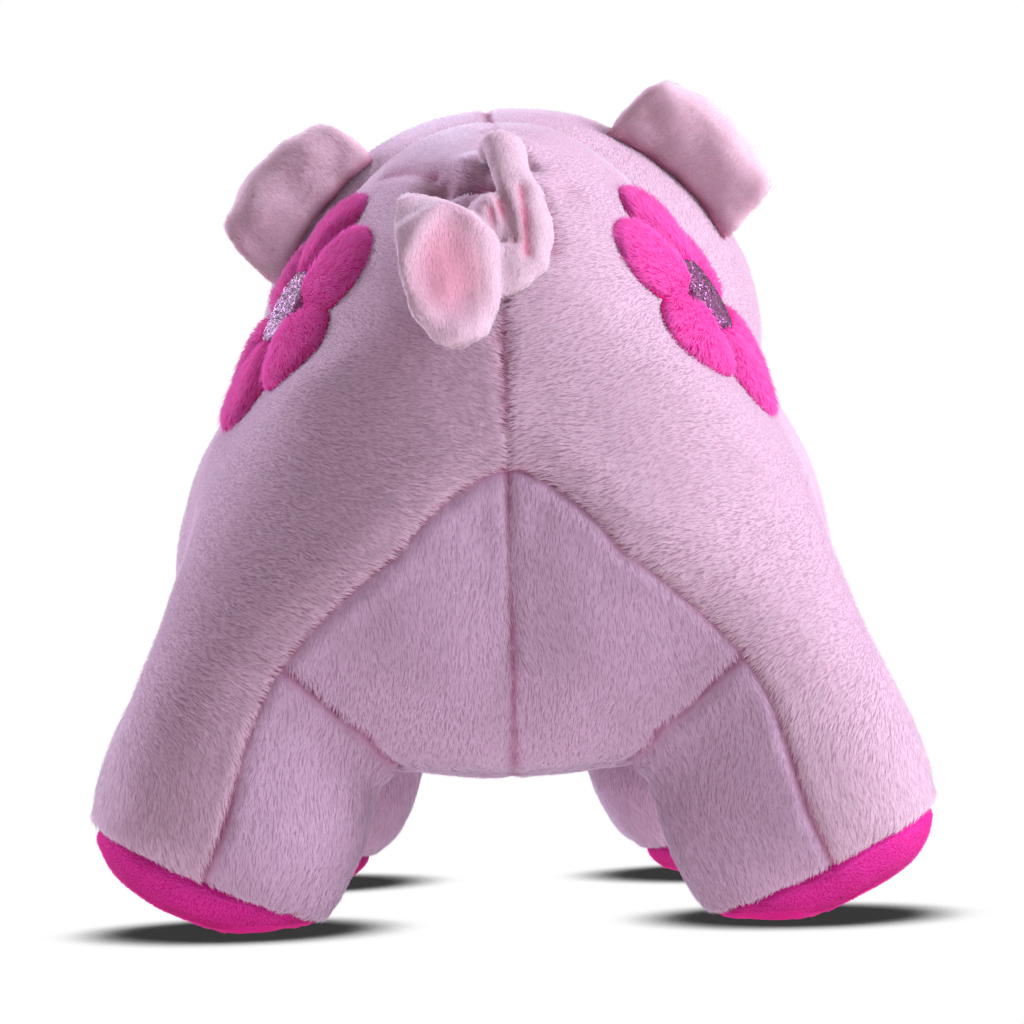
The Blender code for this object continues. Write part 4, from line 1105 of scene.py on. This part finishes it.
def polar(middle, across, up, angle, radius):
    return middle + across * radius * math.cos(angle) + up * radius * math.sin(angle)


def disc_spots(side_name, radius_at, spokes, rings):
    """Rings of spots on the cover, each with its normal, its share of the radius and its angle."""
    middle, outward, across, up = flower_axes(side_name)
    for ring in range(rings + 1):
        share = max(0.02, ring / rings)
        for spoke in range(spokes):
            angle = 2 * math.pi * spoke / spokes
            aim = polar(middle, across, up, angle, share * radius_at(angle))
            yield *on_cover(aim, outward), share, angle


def disc_faces(spokes, rings):
    """Faces between the rings and down to the last one, and one that closes the middle."""
    faces = []
    for ring in range(rings + 1):
        for spoke in range(spokes):
            a, b = ring * spokes + spoke, ring * spokes + (spoke + 1) % spokes
            faces.append((a, b, b + spokes, a + spokes))
    return faces + [tuple(range(spokes))[::-1]]


def flower_mesh(name, side_name, spokes=170, rings=26):
    _, outward, across, up = flower_axes(side_name)
    points, combs = [], []
    for spot, normal, share, angle in disc_spots(side_name, petal_radius, spokes, rings):
        points.append(spot + normal * petal_height(share, angle))
        combs.append(across * math.cos(angle) + up * math.sin(angle))
    for last in points[rings * spokes:]:
        spot, normal = COVER_TREE.find_nearest(last)[:2]
        points.append(spot - normal * 0.0006)
    combs += combs[rings * spokes:]
    mesh = mesh_of(name, points, disc_faces(spokes, rings))
    tidy = bmesh.new()
    tidy.from_mesh(mesh)
    bmesh.ops.recalc_face_normals(tidy, faces=tidy.faces)
    tidy.to_mesh(mesh)
    tidy.free()
    if mesh.polygons[spokes * 4].normal.dot(outward) < 0:
        mesh.flip_normals()
    mesh.shade_smooth()
    return mesh, np.array(combs)


def glitter_mesh(name, side_name, spokes=64, rings=14):
    outward = flower_axes(side_name)[1]
    points = []
    for spot, normal, share, _ in disc_spots(side_name, lambda _: GLITTER_RADIUS, spokes, rings):
        dome = math.sqrt(max(0.0, 1 - share**3))
        points.append(spot + normal * (GLITTER_LIFT + GLITTER_PUFF * dome))
    points += [last - outward * 0.0020 for last in points[rings * spokes:]]
    mesh = mesh_of(name, points, disc_faces(spokes, rings))
    if mesh.polygons[200].normal.dot(outward) < 0:
        mesh.flip_normals()
    mesh.shade_smooth()
    return mesh


# %% Satin stitches
STITCH_STEP, STITCH_LENGTH, STITCH_WIDTH = 0.00042, 0.0026, 0.00062


def stitches(name, line, rise, material, seed):
    """Satin stitches laid side by side across a closed line."""
    points, combs, rises = [], [], []
    for number, (start, up) in enumerate(zip(line, rise)):
        end = line[(number + 1) % len(line)]
        run = end - start
        count = max(1, round(run.length / STITCH_STEP))
        for part in range(count):
            points.append(start + run * (part / count))
            combs.append(run.cross(up).normalized())
            rises.append(up)
    mesh = mesh_of(name, points, [])
    steer(mesh, combs, rises, np.ones(len(points)))
    made = piece_of(name, mesh)
    made.data.materials.append(material)
    scatter(
        made, POINT_SCATTER, STITCH, material,
        Length=STITCH_LENGTH, Width=STITCH_WIDTH,
        Swirl=0.5, Tilt=0.05, Roll=0.1, Yaw=0.08, Uneven=0.10, Seed=seed,
    )
    forget(made.data)
    return made


def joined(first, second):
    """Adds the second item's mesh to the first item."""
    body = bmesh.new()
    start = len(first.data.materials)
    body.from_mesh(first.data)
    old = len(body.faces)
    body.from_mesh(second.data)
    body.faces.ensure_lookup_table()
    for face in body.faces[old:]:
        face.material_index += start
    mesh = mesh_from(first.name, body)
    for material in list(first.data.materials) + list(second.data.materials):
        mesh.materials.append(material)
    first.data = mesh
    bpy.data.objects.remove(second)


# %% Make the flowers
SHAGGY_PILE = {
    "Density": 4.4e6, "Length": 0.0034, "Width": 0.00030, "Tilt": 0.35, "Roll": 0.6, "Swirl": 1.6,
}
under_flower = np.zeros(len(cover_points), bool)
for number, side_name in enumerate(SIDES):
    name = "blossom_" + side_name
    mesh, combs = flower_mesh(name, side_name)
    middle, outward, across, up = flower_axes(side_name)
    normals, points = read_normals(mesh), read_points(mesh)
    away = away_from(points, middle)
    share = np.clip((away - GLITTER_RADIUS * 0.85) / 0.002, 0, 1)
    steer(mesh, swirled(combs, normals, points, 0.5, 0.012), normals, share)
    petals = piece_of(name, mesh)
    furred(petals, PETAL, 20 + number, SHAGGY_PILE)
    spokes = 240
    line, rise = [], []
    for spoke in range(spokes):
        angle = 2 * math.pi * spoke / spokes
        aim = polar(middle, across, up, angle, petal_radius(angle) * 0.985)
        spot, normal = on_cover(aim, outward)
        line.append(spot + normal * 0.0004)
        rise.append(normal)
    joined(petals, stitches("edge_" + side_name, line, rise, THREAD, 30 + number))
    placed(petals, "plush_hot_pink", ["flower_" + side_name])

    mesh = glitter_mesh("glitter_" + side_name, side_name)
    normals, points = read_normals(mesh), read_points(mesh)
    steer(mesh, np.tile(np.array(up), (len(points), 1)), normals, np.ones(len(points)))
    disc = piece_of("glitter_" + side_name, mesh)
    disc.data.materials.append(GLITTER_BACK)
    scatter(
        disc, SURFACE_SCATTER, FLAKE_SHAPE, FLAKE,
        Density=5.5e6, Length=0.00062, Width=0.00062,
        Swirl=6.0, Tilt=0.42, Roll=0.42, Yaw=3.0, Seed=40 + number,
    )
    forget(disc.data)
    placed(disc, "glitter_fabric", ["flower_centre_" + side_name])
    flat = (cover_points - np.array(middle)) @ np.array([across, up]).T
    facing = (cover_points - np.array(middle)) @ np.array(outward) > -0.03
    angle = np.arctan2(flat[:, 1], flat[:, 0])
    reach = np.array([petal_radius(a) for a in angle]) - 0.0025
    under_flower |= facing & (np.linalg.norm(flat, axis=1) < reach)
print("cover points under the flowers:", int(under_flower.sum()))


# %% [markdown]
# ## Pieces
#
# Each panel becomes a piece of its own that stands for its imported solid. Its border is tucked in
# under the seam, so no gap shows between neighbours. No pile grows where a flower, the head or the
# floor covers the plush, which saves hairs that nobody sees.

# %% Trunk and legs
in_head = buried(cover_points, HEAD_TREE, 0.0020)
on_floor = cover_points[:, 2] < 0.0022
bare = in_head | under_flower | on_floor
slots = {"flank": ("plush_pink", PINK), "belly": ("plush_gusset", UNDER)}
slots.update({"inner": ("plush_gusset", UNDER), "sole": ("plush_hot_pink", HOT)})
CORE_OF = {"flank_left": ["stuffing_trunk"]}
for core in CORES[1:]:
    CORE_OF["inner_leg" + core[len("stuffing_leg"):]] = [core]
for number, name in enumerate(PANELS):
    slot, material = slots[name.split("_")[0]]
    comb = panel_comb(name, cover_points, cover_normals)
    share = np.where(bare, 0.0, kept_share)
    cut = cover_item.data, [number], cover_normals, comb, share, painted_groove_shade
    pile = SHORT_PILE if slot == "plush_hot_pink" else PILE
    sewn(name, slot, material, number + 1, cut, CORE_OF.get(name, []), pile)
bpy.data.objects.remove(cover_item)

# %% Head panels
in_trunk = buried(head_points, COVER_TREE, 0.0020)
comb = swirled(BACK + 0.45 * DOWN + 0 * head_points, head_normals, head_points, 0.45, 0.022)
painted_shade, kept = seam_shade(head_away)
for label, side_name in enumerate(SIDES):
    cut = head_mesh, [label], head_normals, comb, np.where(in_trunk, 0.0, kept), painted_shade
    stuffing = ["stuffing_head"] if label == 0 else []
    sewn("head_" + side_name, "plush_pink", PINK, 50 + label, cut, stuffing)
print("head points inside the trunk:", int(in_trunk.sum()), "of", len(in_trunk))

# %% [markdown]
# ## Snout
#
# The snout is a short tube of pale plush with a hot-pink front. The nostrils are satin stitch:
# threads laid across an upright oval. One row of points down the middle of each gives the threads
# their places, and their lengths follow the oval.

# %% Snout and nostrils
NOSTRIL_ROWS, NOSTRIL_WIDTH, NOSTRIL_HALF_HEIGHT = 26, 0.0086, 0.0064
snout = soft_from("snout", ["snout_band", "snout_face"], ["stuffing_snout"], 0.0011, 10)
points, normals = read_points(snout.data), read_normals(snout.data)
points = rooted(points, HEAD_TREE, 0.0040, 0.0025)
points, snout_away = pull_seams(points, normals, seam_places(snout.data), 0.0011, 0.0018)
nostril_spots = {side_name: middle_of("nostril_" + side_name) for side_name in SIDES}
for spot in nostril_spots.values():
    points, _ = dent(points, normals, spot, 0.0012, 0.0060)
write_points(snout.data, points)
SNOUT_TREE = tree_of_mesh(snout.data)
normals = read_normals(snout.data)
middle = points.mean(0)
radial = unit(points - middle)
hidden = buried(points, HEAD_TREE, 0.0012)
near_nostril = np.min([away_from(points, spot) for spot in nostril_spots.values()], axis=0)
painted_shade, kept = seam_shade(snout_away)
for label, (name, slot, material) in enumerate(
    (("snout_band", "plush_pink", PINK), ("snout_face", "plush_hot_pink", HOT))
):
    comb = (BACK + 0 * points if name == "snout_band" else radial) + 0.3 * DOWN
    comb = swirled(comb, normals, points, 0.4, 0.012)
    share = np.where(hidden | (near_nostril < 0.004), 0.0, kept)
    cut = snout.data, [label], normals, comb, share, painted_shade
    stuffing = ["stuffing_snout"] if label == 0 else []
    sewn(name, slot, material, 60 + label, cut, stuffing, SHORT_PILE)
bpy.data.objects.remove(snout)

for number, side_name in enumerate(SIDES):
    tilt = Matrix.Rotation(HEAD_ROLL, 3, "Y")
    across, tall, ahead = tilt @ Vector((1, 0, 0)), tilt @ Vector((0, 0, 1)), Vector((0, -1, 0))
    line = []
    for row in range(NOSTRIL_ROWS):
        height = -1 + 2 * (row + 0.5) / NOSTRIL_ROWS
        spot = nostril_spots[side_name] + tall * height * NOSTRIL_HALF_HEIGHT
        hit, normal = SNOUT_TREE.ray_cast(spot + ahead * 0.02, -ahead)[:2]
        line.append((hit + normal * 0.0002, math.sqrt(1 - height**2), normal))
    mesh = mesh_of("nostril", [spot for spot, _, _ in line], [])
    rises, widths = [tuple(up) for _, _, up in line], [wide for _, wide, _ in line]
    steer(mesh, [tuple(across)] * NOSTRIL_ROWS, rises, widths)
    nostril = piece_of("nostril_" + side_name + "_thread", mesh)
    nostril.data.materials.append(NOSE_THREAD)
    scatter(
        nostril, POINT_SCATTER, STITCH, NOSE_THREAD,
        Length=NOSTRIL_WIDTH, Width=STITCH_WIDTH,
        Swirl=0.0, Tilt=0.02, Roll=0.05, Yaw=0.04, Uneven=0.03, Seed=70 + number,
    )
    forget(nostril.data)
    placed(nostril, "nostril_thread", ["nostril_" + side_name])
print("threads in a nostril:", NOSTRIL_ROWS)

# %% [markdown]
# ## Ears and tail
#
# Each ear is two layers of plush, turned out and sewn on along a fold, so its corners come out
# round. The tail is a strip of plush that is gathered at its root, curls over, and ends in a
# cupped flap. Both turn about a joint at their root.

# %% Ears
def rounder(points, hinge, axis, share):
    """An ear's points, fuller and with its far corners drawn in toward an oval."""
    flat = points - np.array(hinge)
    along = flat @ np.array(axis)
    lean = flat - np.outer(along, np.array(axis))
    out = unit(lean.mean(0)[None])[0]
    rise = lean @ out
    side = along / np.abs(along).max()
    far = np.clip(rise / rise.max(), 0, 1)
    narrow = (1 + 0.17 * far) * np.sqrt(1 - share * far**2 / 2)
    lower = 1 + far * (1.16 * np.sqrt(1 - share * side**2 / 2) - 1)
    thick = lean - np.outer(rise, out)
    spread = np.outer(along * narrow, np.array(axis)) + np.outer(rise * lower, out)
    return np.array(hinge) + spread + thick * (1 + 0.30 * far)[:, None]


for number, side_name in enumerate(SIDES):
    body_name = "ear_" + side_name
    hinge, axis = joint_of(body_name)
    parts = ["ear_back_" + side_name, "ear_front_" + side_name]
    item = soft_from(body_name + "_soft", parts, [], 0.0009, 20)
    points = rounder(read_points(item.data), hinge, axis, 0.60)
    write_points(item.data, points)
    normals = read_normals(item.data)
    points = pushed(points, normals, 0.0010 * wobble(points, 0.011, 95 + number))
    points, _ = pull_seams(points, normals, seam_places(item.data), 0.0006, 0.0014)
    points = rooted(points, HEAD_TREE, 0.0045, 0.0022)
    # Painted shade: the pile is darker along the ear's root at the head and in the crease of its
    # fold.
    root_away = np.array([HEAD_TREE.find_nearest(Vector(p))[3] for p in points])
    dark = 0.9 * bell(root_away, 0.0022)
    out = Vector(unit((points - np.array(hinge)).mean(0)[None])[0])
    root = hinge + out * 0.0085
    half = axis * 0.0240
    points, dark = crease(points, normals, dark, (root - half, root + half), 0.0020, 0.0024)
    write_points(item.data, points)
    normals = read_normals(item.data)
    away = points - np.array(hinge)
    away = unit(away - np.outer(away @ np.array(axis), axis) + 1e-6)
    comb = swirled(away + 0.15 * DOWN, normals, points, 0.4, 0.015)
    steer(item.data, comb, normals, np.where(buried(points, HEAD_TREE, 0.0010), 0.0, 1.0), dark)
    item.data.shade_smooth()
    furred(item, BLUSH, 80 + number, SHORT_PILE)
    placed(item, "plush_pink", parts, body=None)
    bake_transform(item)
    print(body_name, "was rounded on", len(points), "points")

# %% Tail
hinge, axis = joint_of("tail")
tail_low, tail_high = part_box("tail")
puffs = [
    (Vector((0.0030, hinge.y + 0.0095, 0.1955)), 0.0078, (1.0, 0.9, 1.4)),
    (Vector((0.0006, hinge.y + 0.0095, 0.1885)), 0.0040, (1.0, 0.9, 2.4)),
    (Vector((0.0022, hinge.y + 0.0180, 0.1945)), 0.0066, (1.05, 1.0, 1.8)),
    (Vector((-0.0052, hinge.y + 0.0085, 0.1965)), 0.0050, (1.0, 0.9, 2.4)),
]
item = soft_from("tail_soft", ["tail"], [], 0.0009, 8, puffs)
points, normals = read_points(item.data), read_normals(item.data)
points = pushed(points, normals, 0.0009 * wobble(points, 0.008, 91))
points = rooted(points, COVER_TREE, 0.0030, 0.0020)
# The folds at the root of the tail get painted shade along their lines.
dark = np.zeros(len(points))
for places, depth, width in (
    (((0.0032, 0.2030), (0.0014, 0.1950)), 0.0018, 0.0020),
    (((0.0000, 0.2060), (-0.0030, 0.1930)), 0.0022, 0.0021),
    (((-0.0066, 0.2085), (-0.0076, 0.1890)), 0.0015, 0.0022),
):
    ends = []
    for x, z in places:
        near = np.hypot(points[:, 0] - x, points[:, 2] - z) < 0.0015
        ends.append((x, points[near, 1].max(), z))
    points, dark = crease(points, normals, dark, ends, depth, width)
cup = Vector((tail_high.x - 0.0145, tail_high.y, tail_low.z + 0.0215))
away = np.hypot(points[:, 0] - cup.x, (points[:, 2] - cup.z) * 0.72)
outer = np.clip((points[:, 1] - (tail_high.y - 0.014)) / 0.006, 0, 1)
upper = np.clip((points[:, 2] - cup.z) / 0.012, 0, 1) * outer
dish = np.exp(-((away / 0.0098) ** 4)) * outer
points[:, 1] -= 0.0030 * dish
rim = bell(away - 0.0135, 0.0038) * outer
points = pushed(points, normals, 0.0011 * rim)
points[:, 2] += 0.0036 * upper * bell(points[:, 0] - 0.0145, 0.0080)
points[:, 2] -= 0.0045 * upper * bell(points[:, 0] - tail_high.x, 0.0120)
write_points(item.data, points)
normals = read_normals(item.data)
comb = swirled(DOWN + 0.3 * BACK + 0 * points, normals, points, 0.5, 0.012)
# Painted shade in the hollow of the cupped flap, on its faces that look back.
facing = np.clip(normals[:, 1] * 2, 0, 1)
dark = np.maximum(dark, 0.50 * dish * facing)
steer(item.data, comb, normals, np.where(buried(points, COVER_TREE, 0.0008), 0.0, 1.0), dark)
item.data.shade_smooth()
furred(item, CURL, 90, SHORT_PILE)
placed(item, "plush_pink", ["tail"], body=None)
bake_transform(item)
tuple(hinge)
print("tail was folded on", len(points), "points")


# %% [markdown]
# ## Eyes
#
# Safety eyes are domes of polished black plastic. A ribbed stem goes through the plush, and a pale
# washer inside holds it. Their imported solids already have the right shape, so a subdivision that
# rounds them is all they need.

# %% Eyes and their washers
def rounded(name, node_name, material, slot, levels):
    mesh = mesh_from(name, solid(node_name))
    mesh.materials.clear()
    mesh.materials.append(material)
    mesh.shade_smooth()
    item = piece_of(name, mesh)
    modifier = item.modifiers.new("round", "SUBSURF")
    modifier.levels = modifier.render_levels = levels
    settle(item)
    placed(item, slot, [node_name])


for side_name in SIDES:
    rounded("pupil_" + side_name, "eye_" + side_name, BLACK, "eye_plastic", 3)
    rounded("washer_" + side_name, "eye_washer_" + side_name, WASHER, "washer_plastic", 1)
for shape in (HAIR, FLAKE_SHAPE, STITCH):
    bpy.data.objects.remove(shape)
low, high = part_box("eye_left")
print("eye with its stem, mm:", [round(v * 1000, 1) for v in high - low])

# %% [markdown]
# ## Room, light and camera
#
# A pale floor under a white background. To the camera the floor is a white glow with a painted
# contact shadow by the feet. For the light it sends up, it glows more on the right of the
# picture, as painted bounce light. The main light comes from the right of the picture. A large
# weaker one shines down from beyond the pig, and a cool one gives the left side its rim. The white
# of the background is for the camera, for gloss and for clear parts only. Scattered light meets a
# dimmer room instead, so that the background doesn't light the plush.

# %% What sees the white background
def sees_white(tree):
    path = node(tree, "ShaderNodeLightPath").outputs
    rays = {0: path["Is Transmission Ray"], 1: path["Is Diffuse Ray"]}
    clear = node(tree, "ShaderNodeMath", rays, operation="SUBTRACT", use_clamp=True).outputs[0]
    rays = {0: path["Is Glossy Ray"], 1: clear}
    sharp = node(tree, "ShaderNodeMath", rays, operation="MAXIMUM").outputs[0]
    rays = {0: path["Is Camera Ray"], 1: sharp}
    return node(tree, "ShaderNodeMath", rays, operation="MAXIMUM").outputs[0]


# %% Floor
floor = piece_of(
    "floor", mesh_of("floor", [(-9, -9, 0), (9, -9, 0), (9, 9, 0), (-9, 9, 0)], [(0, 1, 2, 3)])
)
floor_glow_and_shadow, tree, shader = new_material("floor_glow_painted_shadow")
set_shader(shader, Base_Color=shade("#F1F0F2"), Roughness=0.85)
place = node(tree, "ShaderNodeTexCoord").outputs["Object"]
across = node(tree, "ShaderNodeSeparateXYZ", {0: place}).outputs["X"]
# For the light it sends up, the floor glows, more on the right of the picture: painted bounce light.
bounce = node(
    tree, "ShaderNodeMapRange",
    {"Value": across, "From Min": 0.35, "From Max": -0.35, "To Min": 0.62, "To Max": 1.45},
).outputs[0]
bright = node(tree, "ShaderNodeEmission", {"Color": (1, 1, 1, 1), "Strength": bounce}).outputs[0]
bright = node(tree, "ShaderNodeAddShader", {0: shader.outputs[0], 1: bright}).outputs[0]
# To the camera the floor is a white glow, darkened near the feet by ambient occlusion that leans to
# the camera side: a painted contact shadow.
lean = (0.0, -0.80, 0.60)
close = node(tree, "ShaderNodeAmbientOcclusion", {"Distance": 0.032, "Normal": lean}).outputs["AO"]
painted_shadow = node(
    tree, "ShaderNodeMapRange",
    {"Value": close, "From Min": 0.54, "From Max": 0.84, "To Min": 0.04, "To Max": 1.0},
).outputs[0]
white = node(tree, "ShaderNodeEmission", {"Color": (1, 1, 1, 1), "Strength": painted_shadow}).outputs[0]
both = node(tree, "ShaderNodeMixShader", {0: sees_white(tree), 1: bright, 2: white}).outputs[0]
tree.links.new(both, tree.nodes["Material Output"].inputs["Surface"])
floor.data.materials.append(floor_glow_and_shadow)
floor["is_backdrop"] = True
print("floor material has", len(tree.nodes), "nodes")

# %% World
world = bpy.data.worlds.new("studio")
bpy.context.scene.world = world
world.use_nodes = True
tree = world.node_tree
tree.nodes.clear()
room = node(tree, "ShaderNodeBackground", {"Color": shade("#F4E4EE"), "Strength": 0.285})
white = node(tree, "ShaderNodeBackground", {"Color": (1, 1, 1, 1), "Strength": 1.0})
mixed = node(
    tree, "ShaderNodeMixShader", {0: sees_white(tree), 1: room.outputs[0], 2: white.outputs[0]}
)
node(tree, "ShaderNodeOutputWorld", {0: mixed.outputs[0]})


# %% Lights
def area_light(name, place, aim, size, power, code):
    lamp = bpy.data.lights.new(name, "AREA")
    lamp.size = size
    lamp.energy = power
    lamp.color = shade(code)[:3]
    item = piece_of(name, lamp)
    item.location = place
    item.rotation_euler = (Vector(aim) - Vector(place)).to_track_quat("-Z", "Y").to_euler()
    item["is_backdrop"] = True


area_light("key", (-1.24, 0.30, 0.91), (0, 0, 0.12), 0.60, 25.5, "#EEF6FF")
area_light("top", (0.10, -0.45, 1.40), (0, 0, 0.10), 0.90, 10.5, "#F4F6FF")
area_light("rim", (1.15, -0.72, 0.66), (0, 0, 0.12), 0.60, 17.5, "#E8ECFF")
print(len(bpy.data.lights), "lights")

# %% Camera
CAMERA_PLACE = Vector((0.0155, 1.172, 0.093))
CAMERA_YAW, CAMERA_PITCH, CAMERA_ROLL = (math.radians(a) for a in (0.92, 1.31, -1.5))
FOCAL_PIXELS, PICTURE_PIXELS, SENSOR = 3700, 1024, 36.0
ahead = Vector((
    -math.sin(CAMERA_YAW) * math.cos(CAMERA_PITCH),
    -math.cos(CAMERA_YAW) * math.cos(CAMERA_PITCH),
    math.sin(CAMERA_PITCH),
))
level = Vector((-math.cos(CAMERA_YAW), math.sin(CAMERA_YAW), 0))
above = level.cross(ahead)
right = level * math.cos(CAMERA_ROLL) + above * math.sin(CAMERA_ROLL)
top = above * math.cos(CAMERA_ROLL) - level * math.sin(CAMERA_ROLL)
lens = bpy.data.cameras.new("camera")
lens.sensor_width = SENSOR
lens.lens = SENSOR * FOCAL_PIXELS / PICTURE_PIXELS
camera = piece_of("camera", lens)
turn = Matrix((right, top, -ahead)).transposed().to_4x4()
camera.matrix_world = Matrix.Translation(CAMERA_PLACE) @ turn
bpy.context.scene.camera = camera
bpy.context.scene.view_settings.view_transform = "Standard"
print("lens:", round(lens.lens, 1), "mm")

# %% Size
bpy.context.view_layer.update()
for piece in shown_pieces():
    piece.data.calc_loop_triangles()
